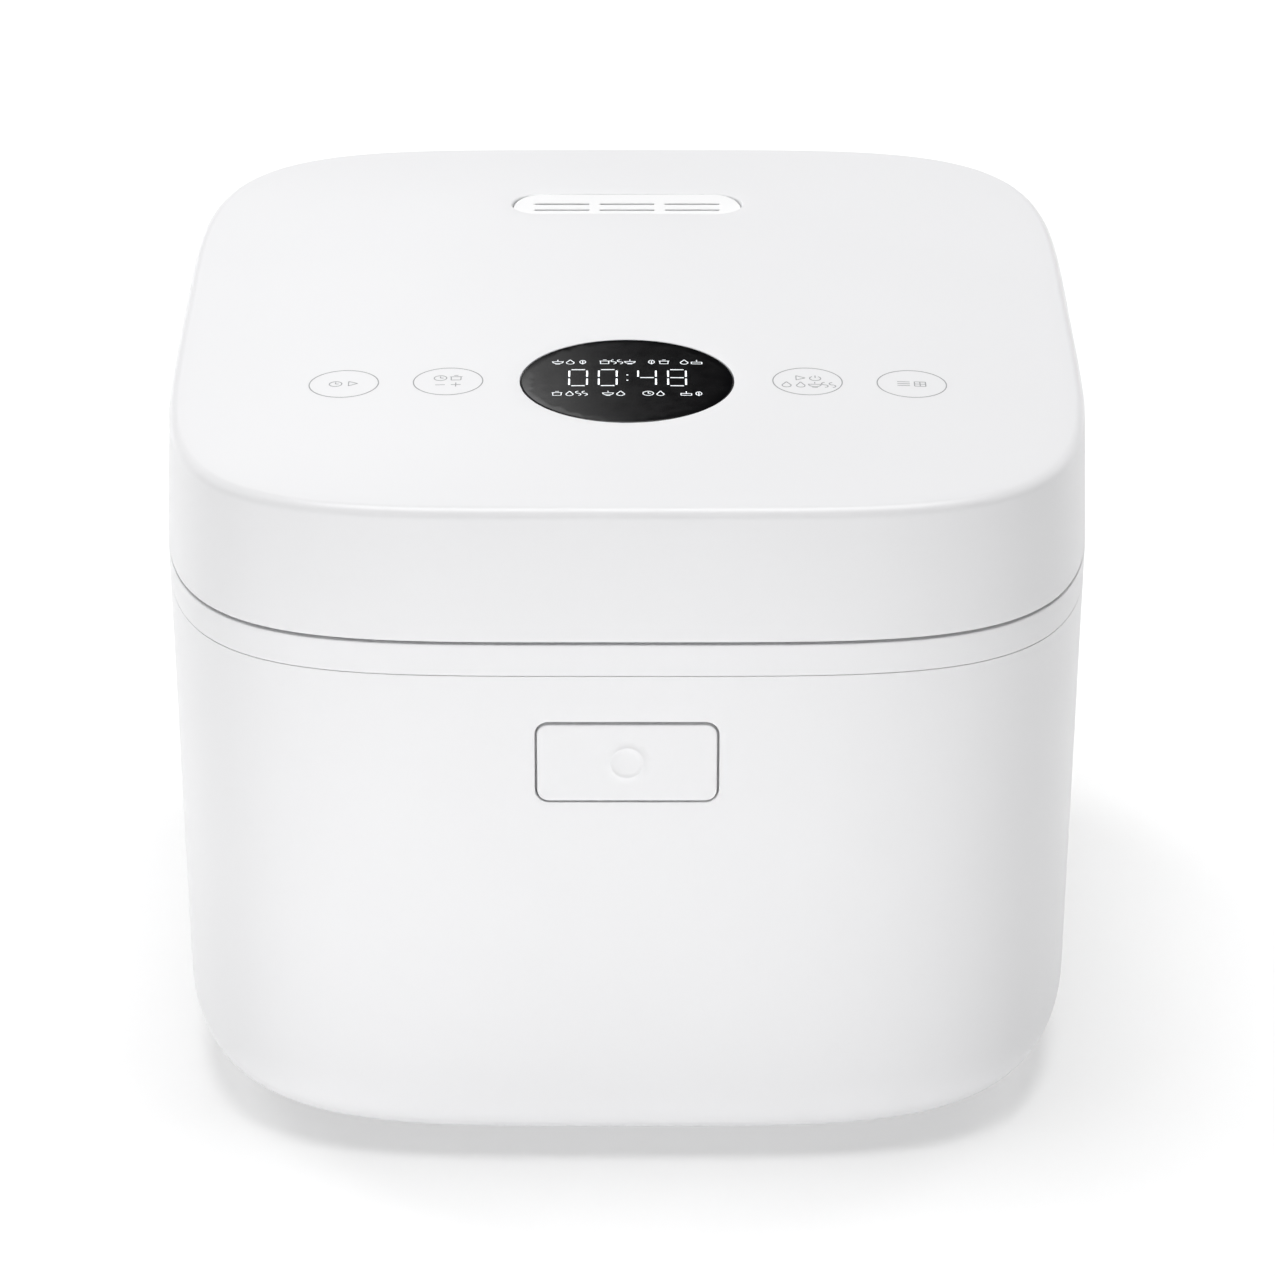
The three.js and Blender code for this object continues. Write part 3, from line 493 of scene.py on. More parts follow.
def spun(name, color, roughness):
    """Sheet metal with circular marks about the upright axis through the pot."""
    tree, shader = principled(name, color, roughness, 1.0)
    rings = add_node(tree, "TexWave", Scale=260, Distortion=1.2, Detail=3)
    rings.wave_type = "RINGS"
    rings.rings_direction = "Z"
    mapped(tree, rings, Location=(0, -CENTRE_Y * MM, 0))
    value = rings.outputs["Fac"]
    tree.links.new(spread(tree, value, roughness - 0.05, roughness + 0.07), shader.inputs["Roughness"])
    tree.links.new(tint(tree, value, tuple(c * 0.93 for c in color), color), shader.inputs["Base Color"])
    bump(tree, shader, value, 0.000002)


def coated(name, color, speck):
    """Non-stick coating with fine light specks."""
    tree, shader = principled(name, color, 0.42, 0.2)
    cells = add_node(tree, "TexVoronoi", Scale=420)
    mapped(tree, cells)
    near_centre = spread(tree, cells.outputs["Distance"], 1, 0, 0.14, 0.2)
    tree.links.new(blended(tree, near_centre, color, speck), shader.inputs["Base Color"])
    bump(tree, shader, noise(tree, 1500), 0.000004)


def lit(name, color, strength):
    """A lamp's own light behind a window."""
    tree, shader = principled(name, color, 0.4, Emission_Color=(*color, 1))
    glow = noise(tree, 800)
    tree.links.new(spread(tree, glow, strength * 0.94, strength * 1.06), shader.inputs["Emission Strength"])


WHITE = (0.8, 0.8, 0.81)
STEEL = (0.5, 0.51, 0.53)
LAMP = (0.85, 0.88, 0.9)

# finishes named as the slots of the frame
moulded("white_gloss", WHITE, 0.36)
moulded("white_satin", (0.79, 0.79, 0.8), 0.5, 700, 0.000008)
moulded("grey_satin", (0.45, 0.46, 0.47), 0.45)
moulded("black_plastic", (0.013, 0.013, 0.014), 0.45, 700, 0.000008, 0.2)
moulded("black_window", (0.003, 0.003, 0.0035), 0.2, 300, 0.0000004, 0.1)
coated("non_stick", (0.022, 0.022, 0.024), (0.12, 0.12, 0.125))
metal("sheet_metal", (0.62, 0.63, 0.65), 0.34, (1, 1, 12))
metal("cast_metal", STEEL, 0.5, (1, 1, 1), 350, 0.00001)
metal("spring_steel", STEEL, 0.25, (6, 6, 1))
metal("pin_brass", (0.72, 0.5, 0.18), 0.28, (1, 8, 1))
moulded("silicone", (0.62, 0.63, 0.64), 0.48, 500, 0.000006, 0.03, Subsurface_Weight=0.15)
moulded("foot_rubber", (0.06, 0.062, 0.065), 0.75, 900, 0.00001, 0.1)
moulded("board_green", (0.014, 0.1, 0.035), 0.4, 400, 0.000004, 0.15)
moulded("relay_blue", (0.02, 0.09, 0.27), 0.4)
moulded("amber_tape", (0.47, 0.29, 0.03), 0.35)

# finishes that differ from their piece's slot
# a lighter copy of the white plastic for the steam cap: painted light, for the extra light that its sloping
# top catches
moulded("white_painted_light", (0.87, 0.87, 0.875), 0.4)
moulded("print_grey", (0.34, 0.34, 0.35), 0.5, 1500, 0.000002, 0.03)
spun("spun_metal", (0.72, 0.73, 0.75), 0.28)
lit("lamp_white", LAMP, 0.8)
lit("lamp_soft", LAMP, 0.42)


def dress_frame():
    """Gives each frame node the finish of its slot."""
    for node, slot in SLOT_OF.items():
        materials = frame["nodes"][node].data.materials
        materials.clear()
        materials.append(MATERIALS[slot])


# ---------------------------------------------------------------- casing


def wall_points(x, z, facing, depth):
    """Points on the front or back wall, depth in from its outer face."""
    y = np.array([float(face_depth(u, v)) - depth for u, v in zip(x, z)])
    return np.column_stack([x, facing * y, z])


def on_wall(shape, z, facing, depth=0.0):
    """An outline in the wall's plane, about height z, as points depth in from the wall's outer face."""
    return wall_points(shape[:, 0], shape[:, 1] + z, facing, depth)


def window(skin, shape, z, facing, edge):
    """The sides of a hole through the wall, with a rounded outer edge. Gives its outer and inner rim."""
    rings = [on_wall(grown(shape, inset), z, facing, drop) for drop, inset in fillet(edge, 4)[::-1]]
    ids = skin.tube(rings + [on_wall(shape, z, facing, WALL)])
    return ids[0], ids[-1]


def columns_between(ring, half_width, facing):
    """Which points of a ring lie on the front or back wall, within half_width of the middle."""
    return [i for i, (x, y, _) in enumerate(ring) if abs(x) < half_width and y * facing > 0]


def sleeve(skin, rings, patches, depth):
    """Joins rings of the wall, from the top down, leaving out patches that are filled round a window's rim.
    A patch is (facing, half width, half height, z of its middle, the rim)."""
    ids = [skin.add(ring) for ring in rings]
    heights = [ring[0][2] for ring in rings]
    gaps = []
    for facing, half_width, half_height, z, rim in patches:
        rows = [r for r, height in enumerate(heights) if abs(height - z) <= half_height]
        gaps.append((rows, columns_between(rings[rows[0]], half_width, facing)))
    for r in range(len(ids) - 1):
        missing = {i for rows, columns in gaps if r in rows[:-1] for i in columns[:-1]}
        skin.bridge(ids[r], ids[r + 1], lambda i: i in missing)
    for (rows, columns), (facing, _, _, _, rim) in zip(gaps, patches):
        loop = [ids[rows[0]][i] for i in columns]
        loop += [ids[r][columns[-1]] for r in rows[1:-1]]
        loop += [ids[rows[-1]][i] for i in reversed(columns)]
        loop += [ids[r][columns[0]] for r in reversed(rows[1:-1])]
        skin.fill([loop, rim], 3.0, lambda x, z, f=facing: wall_points(x, z, f, depth), plane=(0, 2))
    return ids


BUTTON_Z = middle("release_button").z
BUTTON_SIZE = (49.0, 23.2)
BUTTON_CORNER = 3.2
BUTTON_LINE = 0.6  # gap round the button
BUTTON_DROP = 0.2  # how far the middle of its window stands above the button's
INLET_Z = middle("inlet_socket").z
INLET_HOLE = (28.0, 20.0)
# half width and half height of the fields of wall that are filled round the two windows
BUTTON_FIELD = (34.0, 19.0)
INLET_FIELD = (22.0, 16.0)
# heights and insets of the shell's inside below its walls: the ledge that the base cover is screwed to
LEDGE = [(12.2, 7.0), (9.3, 32), (6.8, 32), (6.8, 22), (FLOOR_Z, 22)]
SHELL_TOP = SHELL_HIGH.z + 0.08


def make_outer_shell():
    """The body's wall and the round under it, with windows for the button and the mains socket."""
    skin = Skin()
    lip = 0.15
    upright = np.linspace(SHELL_TOP - 2 * lip, FOOT_Z + 0.5, 44)
    rings = [outline(SHELL_TOP - drop, inset) for drop, inset in fillet(lip, 3)[::-1]]
    rings += [outline(z) for z in upright]
    for angle in np.radians(np.linspace(0, 90, 19)):
        inset = FOOT_INSET * (1 - math.cos(angle))
        rings.append(outline(FOOT_Z - FOOT_HEIGHT * math.sin(angle), inset, FOOT_Z))
    inner = [outline(SHELL_TOP, WALL)] + [outline(z, WALL) for z in upright[::2]]
    inner += [outline(z, inset, FOOT_Z) for z, inset in LEDGE]
    line = 2 * BUTTON_LINE
    shape = rounded_rectangle(BUTTON_SIZE[0] + line, BUTTON_SIZE[1] + line, BUTTON_CORNER + BUTTON_LINE)
    button = window(skin, shape, BUTTON_Z + BUTTON_DROP, -1, 0.3)
    inlet = window(skin, rounded_rectangle(*INLET_HOLE, 1.0), INLET_Z, 1, 0.2)
    fields = [(-1, *BUTTON_FIELD, BUTTON_Z), (1, *INLET_FIELD, INLET_Z)]
    outer_ids = sleeve(skin, rings, [(*f, rims[0]) for f, rims in zip(fields, (button, inlet))], 0)
    inner_ids = sleeve(skin, inner, [(*f, rims[1]) for f, rims in zip(fields, (button, inlet))], WALL)
    skin.bridge(outer_ids[0], inner_ids[0])
    skin.bridge(outer_ids[-1], inner_ids[-1])
    stand_in("outer_shell", skin)


def make_collar():
    """The band under the seam, whose deck runs in to the mouth that holds the pot's rim."""
    skin = Skin()
    bottom, top = COLLAR_LOW.z + 3.92, COLLAR_HIGH.z
    deck, under = 160.5, 158.2
    mouth, skirt, skirt_bottom = 103.6, 104.8, 150
    outside, rabbet, tongue = WALL + GAP, 5.2, 4
    rings = [outline(bottom + drop, inset) for drop, inset in fillet(0.15, 3)[::-1]]
    rings += [outline(z) for z in np.linspace(bottom + 0.5, top - 0.9, 6)]
    rings += [outline(top - drop, inset) for drop, inset in fillet(0.35, 4)]
    rings += [outline(top - drop, 3 - inset) for drop, inset in fillet(0.4, 4)[::-1]]
    rings += [outline(deck, 4.5)]
    rings += [circle(mouth + inset, deck - drop) for drop, inset in fillet(0.8, 4)[::-1]]
    rings += [circle(mouth, skirt_bottom), circle(skirt, skirt_bottom), circle(skirt, under)]
    rings += [outline(under, rabbet), outline(bottom - tongue, rabbet), outline(bottom - tongue, outside)]
    rings += [outline(bottom, outside)]
    skin.tube(rings, close=True)
    latch_slot = box_skin(-9, 9, -136, -119.5, 146, 164)
    carve(stand_in("body_collar", skin), [latch_slot])


def make_button():
    """The release button, with a round ridge on its face, a flange behind the wall and a boss on its back."""
    skin = Skin()
    shape, flange = rounded_rectangle(*BUTTON_SIZE, BUTTON_CORNER), rounded_rectangle(54, 28, 2.0)
    flange_front, flange_back = WALL + 0.6, 5.0
    rings = [on_wall(grown(shape, -inset), BUTTON_Z, -1, drop) for drop, inset in fillet(0.45, 6)[::-1]]
    rings.append(on_wall(shape, BUTTON_Z, -1, flange_front))
    face = skin.tube(rings)
    skin.cap(face[-1])
    skin.closed_tube([on_wall(flange, BUTTON_Z, -1, depth) for depth in (flange_front, flange_back)])
    ridge = ((5.0, 0), (4.85, 0.1), (4.65, 0.18), (4.35, 0.18), (4.15, 0.1), (4.0, 0))
    mark = skin.tube([on_wall(disc(r, count=64), BUTTON_Z, -1, -lift) for r, lift in ridge])
    place = lambda x, z: wall_points(x, z, -1, 0)
    skin.fill([face[0], mark[0]], 1.6, place, plane=(0, 2))
    skin.fill([mark[-1]], 1.2, place, plane=(0, 2))
    back_y = corners("release_button")[1].y
    boss = [(-4, BUTTON_Z - 2), (4, BUTTON_Z - 2), (4, BUTTON_Z + 1), (-4, BUTTON_Z + 1)]
    skin.prism(boss, lambda u, v, h: (u, h, v), back_y - 5.2, back_y)
    stand_in("release_button", skin)


def flat(z):
    """Places plan points at height z."""
    return lambda x, y: level(np.column_stack([x, y]), z)


def perforated(skin, rim, holes, z0, z1, edge, spacing):
    """A flat plate from z0 to z1 with rounded edges outside and in its holes."""
    faces = ([], [])
    for shape, side in [(rim, -1)] + [(hole, 1) for hole in holes]:
        rings = [level(grown(shape, side * inset), z0 + drop) for drop, inset in fillet(edge, 3)[::-1]]
        rings += [level(grown(shape, side * inset), z1 - drop) for drop, inset in fillet(edge, 3)]
        ids = skin.tube(rings)
        faces[0].append(ids[0])
        faces[1].append(ids[-1])
    for loops, z in zip(faces, (z0, z1)):
        skin.fill(loops, spacing, flat(z))


BASE_INSET = LEDGE[-1][1] + GAP
AIR_SLOT = (56, 3.2)
AIR_SLOT_Y = range(-20, 60, 10)
BOARD_POSTS = [(x, y) for x in (-70, 10) for y in (-85, -40)]


def make_base():
    """The bottom cover with its air slots, the board's posts, and its screws and feet."""
    low = corners("base_cover")[0].z
    top, counterbore, seat_z = low + 2.5, 4.0, low + 1.2
    rim = outline(low, BASE_INSET, FOOT_Z)[::2, :2]
    holes = [stadium(*AIR_SLOT, 5) + [0, y] for y in AIR_SLOT_Y]
    screws = [middle(f"base_screw_{i}") for i in range(1, 5)]
    holes += [disc(counterbore, at.x, at.y, 32) for at in screws]
    skin = Skin()
    perforated(skin, rim, holes, low, top, 0.3, 7.0)
    for x, y in BOARD_POSTS:
        skin.turned([(0, top - 1), (3, top - 1), (3, 11), (0, 11)], x, y, 32)
    rim_radius, rim_top = counterbore + 0.4, top - 0.4
    for at in screws:
        seat = [(1.9, seat_z), (rim_radius, seat_z), (rim_radius, rim_top), (1.9, rim_top)]
        skin.turned(seat, at.x, at.y, 32)
    stand_in("base_cover", skin)
    for i in range(1, 5):
        make_screw(f"base_screw_{i}", low + 0.1)
        make_foot(f"foot_{i}")


def make_screw(node, head):
    """A small screw whose shank goes up from its pan head; head is the height of its lowest face."""
    at, top = middle(node), corners(node)[1].z
    radius, shank, seat = at.x - corners(node)[0].x, 0.46, head + 0.9
    profile = [(0, head), (radius, head, 0.3), (radius, seat)]
    profile += [(radius * shank, seat), (radius * shank, top), (0, top)]
    skin = Skin()
    skin.turned(rounded_profile(profile, 3), at.x, at.y, 40)
    arm, half = radius * 0.55, radius * 0.12
    low, high = head - 1, head + 0.6
    cross = [
        box_skin(at.x - arm, at.x + arm, at.y - half, at.y + half, low, high),
        box_skin(at.x - half, at.x + half, at.y - arm, at.y + arm, low - 0.01, high + 0.01),
    ]
    carve(stand_in(node, skin), cross)


def make_foot(node):
    """A rubber foot with a shallow hollow below and a stub that goes up into the base cover."""
    at, high = middle(node), corners(node)[1].z
    profile = [(0, 0.4), (5.5, 0.4, 0.4), (6.2, 0, 0.3), (9, 0, 0.9), (9, 3.7, 0.3)]
    profile += [(2.6, 3.7), (2.6, high, 0.5), (0, high)]
    make_turned(node, profile, at.x, at.y, 64)


# ---------------------------------------------------------------- back: hinge and inlet


def along_x(skin, shape, x0, x1, edge):
    """A [y, z] outline, counterclockwise, pushed from x0 to x1, with rounded ends."""
    rings = []
    for drop, inset in fillet(edge, 4)[::-1]:
        rings.append((x0 + drop, grown(shape, -inset)))
    for drop, inset in fillet(edge, 4):
        rings.append((x1 - drop, grown(shape, -inset)))
    skin.closed_tube([np.column_stack([np.full(len(s), x), s]) for x, s in rings])


def rod_skin(radius, x0, x1, y, z, edge=0.0, count=40):
    skin = Skin()
    angles = np.arange(count) * math.tau / count
    shape = np.column_stack([y + radius * np.cos(angles), z + radius * np.sin(angles)])
    if edge:
        along_x(skin, shape, x0, x1, edge)
        return skin
    skin.closed_tube([np.column_stack([np.full(count, x), shape]) for x in (x0, x1)])
    return skin


HINGE = middle("hinge_pin")
KNUCKLE_X = 36  # middles of the lid's two knuckles, left and right
PIN_BORE = 2.3


def make_hinge():
    """The housing behind the collar, with slots for the lid's knuckles and a pocket for the spring."""
    low, high = corners("hinge_housing")
    dome = high.y - HINGE.y
    arc = [(HINGE.y + dome * math.cos(a), HINGE.z + dome * math.sin(a)) for a in np.radians(range(0, 181, 6))]
    front, step = 140.9, COLLAR_HIGH.z - 0.1
    under = [(front, low.z), (high.y - 6.5, low.z), (high.y - 3.2, low.z + 1.6), (high.y - 1, low.z + 4.4)]
    shape = arc + [(HINGE.y - dome, step), (front, step)] + under + [(high.y, low.z + 9)]
    skin = Skin()
    along_x(skin, divided(np.array(shape), 6.0), low.x, high.x, 1.1)
    bottom, top = HINGE.z - 6.2, HINGE.z + 8
    slots = [box_skin(x - 7, x + 7, 140, 160, bottom, top) for x in (-KNUCKLE_X, KNUCKLE_X)]
    pocket = box_skin(-14, 14, 140, high.y - 1.4, bottom, top)
    bore = rod_skin(PIN_BORE, low.x + 2, high.x - 2, HINGE.y, HINGE.z)
    carve(stand_in("hinge_housing", skin), slots + [pocket, bore], bevel=0.35)
    start, end = corners("hinge_pin")
    stand_in("hinge_pin", rod_skin(2.0, start.x, end.x, HINGE.y, HINGE.z, 0.3))
    make_hinge_bracket()
    make_hinge_spring()


def make_hinge_bracket():
    """The plate under the back of the lid, with a knuckle at each end."""
    skin = Skin()
    knuckle, bottom, top, root = 5.0, 165.7, 170.0, 134.0
    first = math.pi + math.asin((HINGE.z - bottom) / knuckle)
    last = 3 * math.pi - math.asin((top - HINGE.z) / knuckle)
    turn = np.linspace(first, last, 30)
    shape = [(root, top), (root, bottom)]
    shape += [(HINGE.y + knuckle * math.cos(a), HINGE.z + knuckle * math.sin(a)) for a in turn]
    for x in (-KNUCKLE_X, KNUCKLE_X):
        along_x(skin, np.array(shape), x - 6.4, x + 6.4, 0.5)
    plate = [(-46, 113), (46, 113), (46, 138), (-46, 138)]
    skin.prism(plate, lambda u, v, h: (u, v, h), bottom, bottom + 2)
    carve(stand_in("hinge_bracket", skin), [rod_skin(PIN_BORE, -60, 60, HINGE.y, HINGE.z)])


def coil(radius, height, turns, steps=28):
    """Centre line of an even coil that climbs along z, from 0 to height."""
    t = np.linspace(0, 1, int(turns * steps))
    angle = math.tau * turns * t
    return np.column_stack([radius * np.cos(angle), radius * np.sin(angle), height * t])


def make_hinge_spring(radius=3.2, wire=0.6, turns=6.5, half=8.0, legs=(4.0, 4.5)):
    """The torsion spring on the hinge pin: an even coil with a straight leg at each end."""
    line = coil(radius, 2 * half, turns)[:, ::-1] - [half, 0, 0]
    start, end = line[0] - line[1], line[-1] - line[-2]
    first = line[0] + start / np.linalg.norm(start) * legs[0]
    final = line[-1] + end / np.linalg.norm(end) * legs[1]
    line = np.concatenate([[first], line, [final]]) + [0, HINGE.y, HINGE.z]
    stand_in("hinge_spring", wire_skin(line, wire))


def make_thermostat_spring(wire=0.6, turns=4):
    """The coil under the thermostat button, on a mesh of its own."""
    low, high = corners("sensor_spring")
    height = high.z - low.z
    line = coil((high.x - low.x) / 2 - wire, height - 2 * wire, turns) + [0, 0, low.z + wire]
    obj = stand_in("sensor_spring", wire_skin(line, wire))
    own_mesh(obj)


def wire_skin(line, radius, count=10):
    """A round wire along a line of points."""
    along = np.gradient(line, axis=0)
    along /= np.linalg.norm(along, axis=1)[:, None]
    side = np.cross(along[0], [1, 0, 0.3])
    angles = np.arange(count) * math.tau / count
    c, s = np.cos(angles)[:, None], np.sin(angles)[:, None]
    rings = []
    for point, forward in zip(line, along):
        side = side - forward * side.dot(forward)
        side /= np.linalg.norm(side)
        rings.append(point + radius * (c * side + s * np.cross(forward, side)))
    skin = Skin()
    skin.closed_tube(rings)
    return skin


def inlet_shape(width, height, chamfer=4.5):
    x, y = width / 2, height / 2
    corner = [(-x, -y), (x, -y), (x, y - chamfer), (x - chamfer, y), (-x + chamfer, y), (-x, y - chamfer)]
    return rounded_corners(np.array(corner), 0.8)


def turn_at(before, at, after, radius, steps):
    """Points of the round that takes the place of a corner."""
    start = at + (before - at) / np.linalg.norm(before - at) * radius
    end = at + (after - at) / np.linalg.norm(after - at) * radius
    return [start * (1 - t) ** 2 + at * 2 * t * (1 - t) + end * t**2 for t in np.linspace(0, 1, steps + 1)]


def rounded_corners(shape, radius, steps=4):
    """A plan outline with its corners rounded."""
    points = []
    for before, at, after in zip(np.roll(shape, 1, axis=0), shape, np.roll(shape, -1, axis=0)):
        points += turn_at(before, at, after, radius, steps)
    return divided(np.array(points), 4.0)


def make_inlet():
    """The mains socket: a flange on the wall, a case behind it, and three blades in its mouth."""
    low, high = corners("inlet_socket")
    back, face, wall = low.y, high.y, high.y - 1.8
    upright = lambda shape, y: np.column_stack([shape[:, 0], np.full(len(shape), y), shape[:, 1] + INLET_Z])
    across = lambda y: lambda x, z: np.column_stack([x, np.full(len(x), y), z])
    flange, shell, mouth = rounded_rectangle(33, 25, 2.5), inlet_shape(27.4, 19.4), inlet_shape(24.4, 16.4)
    skin = Skin()
    rings = [upright(grown(flange, -inset), face - drop) for drop, inset in fillet(0.8, 5)[::-1]]
    outside = skin.tube(rings + [upright(flange, wall)])
    case = skin.tube([upright(shell, wall), upright(shell, back)])
    rings = [upright(grown(mouth, inset), face - drop) for drop, inset in fillet(0.5, 4)[::-1]]
    hollow = skin.tube(rings + [upright(mouth, back + 3)])
    skin.fill([outside[0], hollow[0]], 2.5, across(face), plane=(0, 2))
    skin.fill([outside[-1], case[0]], 2.5, across(wall), plane=(0, 2))
    skin.cap(case[-1])
    skin.cap(hollow[-1])
    stand_in("inlet_socket", skin)
    for name in ("live", "neutral", "earth"):
        make_blade(f"inlet_pin_{name}")


def make_blade(node):
    """A flat blade along y, with a tapered tip."""
    low, high = corners(node)
    shape, centre = rounded_rectangle(high.x - low.x, high.z - low.z, 0.4, 3), middle(node)
    rings = []
    for inset, y in ((0, low.y), (0, high.y - 1.4), (0.25, high.y - 0.5), (0.55, high.y)):
        x, z = grown(shape, -inset).T
        rings.append(np.column_stack([x + centre.x, np.full(len(x), y), z + centre.z]))
    blade = Skin()
    blade.closed_tube(rings)
    stand_in(node, blade)


def make_latch():
    """A hook that turns on its pin when the button pushes its foot."""
    shape = np.array([
        (-132, 126), (-128, 126), (-126.5, 141), (-123, 144), (-123, 150), (-125.5, 153), (-125.8, 165.8),
        (-122.4, 165.8), (-122.4, 167), (-125.5, 169.6), (-129.5, 169.6), (-129.5, 153), (-131, 150),
        (-131, 143), (-132, 138),
    ])
    low, high = corners("latch_hook")
    skin = Skin()
    along_x(skin, rounded_corners(shape, 0.3, 2), low.x, high.x, 0.35)
    pin = middle("latch_pin")
    carve(stand_in("latch_hook", skin), [rod_skin(1.8, -20, 20, pin.y, pin.z)])


# ---------------------------------------------------------------- lid

DISPLAY = middle("display_window")
DISPLAY_RADIUS = corners("display_window")[1].x
STEAM = middle("steam_cap")
STEAM_LOW, STEAM_HIGH = corners("steam_cap")
STEAM_WIDTH, STEAM_DEPTH = STEAM_HIGH.x * 2, STEAM_HIGH.y - STEAM_LOW.y
STEAM_Z = 202.6  # height of the cap's sloping top at its middle
STEAM_RISE = 2.4  # how much its back is higher than its front
STEAM_HOLLOW_Z = STEAM_Z - 3.9
STEAM_SLOT = (16.6, 0.9)
STEAM_PITCH = 19.7
STEAM_ROWS = (2.5, -1.2)
PROBE_Y = -45


def on_crown(shape, drop=0.0):
    """Plan points set on the lid's top, drop below it."""
    return np.column_stack([shape[:, 0], shape[:, 1], crown(shape[:, 0], shape[:, 1]) - drop])


def crowned(drop=0.0):
    """Places plan points on the lid's top, drop below it."""
    return lambda x, y: on_crown(np.column_stack([x, y]), drop)


def lid_hole(skin, shape, edge):
    """The sides of a hole through the lid's top, with a rounded edge. Gives its upper and lower rim."""
    rings = [on_crown(grown(shape, inset), drop) for drop, inset in fillet(edge, 5)[::-1]]
    ids = skin.tube(rings + [on_crown(shape, WALL)])
    return ids[0], ids[-1]


def make_lid_shell():
    """The lid's wall and crowned top, with holes for the display and the steam cap."""
    skin = Skin()
    bottom, side = LID_LOW.z, EDGE_Z - TOP_FILLET
    rings = [outline(bottom + drop, inset) for drop, inset in fillet(0.3, 4)[::-1]]
    rings += [outline(z) for z in np.linspace(bottom + 1, side - 0.5, 14)]
    for angle in np.radians(np.linspace(0, 87, 11)):
        rings.append(outline(side + TOP_FILLET * math.sin(angle), TOP_FILLET * (1 - math.cos(angle)), side))
    outer = skin.tube(rings)
    inner = skin.tube([outline(bottom, WALL), outline(side, WALL, side)])
    skin.bridge(outer[0], inner[0])
    glass = disc(DISPLAY_RADIUS + GAP, 0, DISPLAY.y, 160)
    steam = stadium(STEAM_WIDTH + 2 * GAP, STEAM_DEPTH + 2 * GAP, 24) + [0, STEAM.y]
    holes = [lid_hole(skin, glass, 0.25), lid_hole(skin, steam, 0.6)]
    skin.fill([outer[-1]] + [upper for upper, _ in holes], 4.5, crowned())
    skin.fill([inner[-1]] + [lower for _, lower in holes], 7.0, crowned(WALL))
    arms = [box_skin(x - 7.2, x + 7.2, 136, 146, 160, 171.5) for x in (-KNUCKLE_X, KNUCKLE_X)]
    carve(stand_in("lid_shell", skin), arms)


def make_display():
    """The round window, which carries on the lid's crown."""
    skin = Skin()
    rim = disc(DISPLAY_RADIUS, 0, DISPLAY.y, 160)
    rings = [on_crown(grown(rim, -inset), drop) for drop, inset in fillet(0.3, 4)[::-1]]
    ids = skin.tube(rings + [on_crown(rim, WALL)])
    skin.fill([ids[0]], 2.5, crowned())
    skin.fill([ids[-1]], 5, crowned(WALL))
    stand_in("display_window", skin)


def steam_top(x, y, drop=0.0):
    """Points on the steam cap's sloping top, drop below it."""
    x, y = np.asarray(x), np.asarray(y)
    return np.column_stack([x, y, STEAM_Z + (y - STEAM.y) * STEAM_RISE / STEAM_DEPTH - drop])


def make_steam_cap():
    """The cap over the steam box, hollow below, with two rows of slots."""
    skin = Skin()
    rim = stadium(STEAM_WIDTH, STEAM_DEPTH, 24) + [0, STEAM.y]
    thin = stadium(STEAM_WIDTH - 4, STEAM_DEPTH - 4, 24) + [0, STEAM.y]
    rings = [steam_top(*grown(rim, -inset).T, drop) for drop, inset in fillet(0.4, 4)[::-1]]
    top = skin.tube(rings + [level(rim, STEAM_LOW.z)])
    under = skin.tube([level(thin, STEAM_LOW.z), level(thin, STEAM_HOLLOW_Z)])
    skin.fill([top[-1], under[0]], 2.0, flat(STEAM_LOW.z))
    uppers, lowers = [top[0]], [under[-1]]
    for row in STEAM_ROWS:
        for column in (-1, 0, 1):
            slot = stadium(*STEAM_SLOT, 4, 2.0) + [column * STEAM_PITCH, STEAM.y + row]
            rings = [steam_top(*grown(slot, inset).T, drop) for drop, inset in fillet(0.28, 3)[::-1]]
            ids = skin.tube(rings + [level(slot, STEAM_HOLLOW_Z)])
            uppers.append(ids[0])
            lowers.append(ids[-1])
    skin.fill(uppers, 1.5, steam_top)
    skin.fill(lowers, 2.0, flat(STEAM_HOLLOW_Z))
    # the cap's lighter white is painted light, for the light that its sloping top catches
    stand_in("steam_cap", skin, "white_painted_light")


def make_steam_box():
    """The tray under the steam cap, with the float ball over the drain in its floor."""
    low, high = corners("steam_box")
    rim, inner = stadium(66, 14.4, 20), stadium(63.6, 12, 20)
    drain = disc(3, count=32)
    stand_in("steam_box", tray_skin(rim, inner, drain, low.z, high.z, 1.4))
    low, high = corners("steam_ball")
    radius, centre = (high.z - low.z) / 2, (high.z + low.z) / 2
    arc = np.radians(np.linspace(-90, 90, 25))
    ball = [(max(radius * math.cos(a), 0), centre + radius * math.sin(a)) for a in arc]
    ball[0], ball[-1] = (0, low.z), (0, high.z)
    make_turned("steam_ball", ball, 0, STEAM.y, 48)


def tray_skin(rim, inner, drain, z0, z1, floor):
    """An open cup under the steam cap, between two outlines about its middle, with a drain in its floor."""
    skin = Skin()
    rim, inner, drain = (shape + [0, STEAM.y] for shape in (rim, inner, drain))
    rings = [level(grown(rim, -inset), z0 + drop) for drop, inset in fillet(0.6, 4)[::-1]]
    rings += [level(grown(rim, -inset), z1 - drop) for drop, inset in fillet(0.3, 3)]
    outside = skin.tube(rings)
    rings = [level(grown(inner, inset), z1 - drop) for drop, inset in fillet(0.3, 3)[::-1]]
    rings += [level(grown(inner, -inset), z0 + floor + drop) for drop, inset in fillet(0.8, 4)]
    cup = skin.tube(rings)
    hole = skin.tube([level(drain, z0), level(drain, z0 + floor)])
    skin.fill([outside[-1], cup[0]], 2.0, flat(z1))
    skin.fill([outside[0], hole[0]], 2.5, flat(z0))
    skin.fill([cup[-1], hole[1]], 2.5, flat(z0 + floor))
    return skin


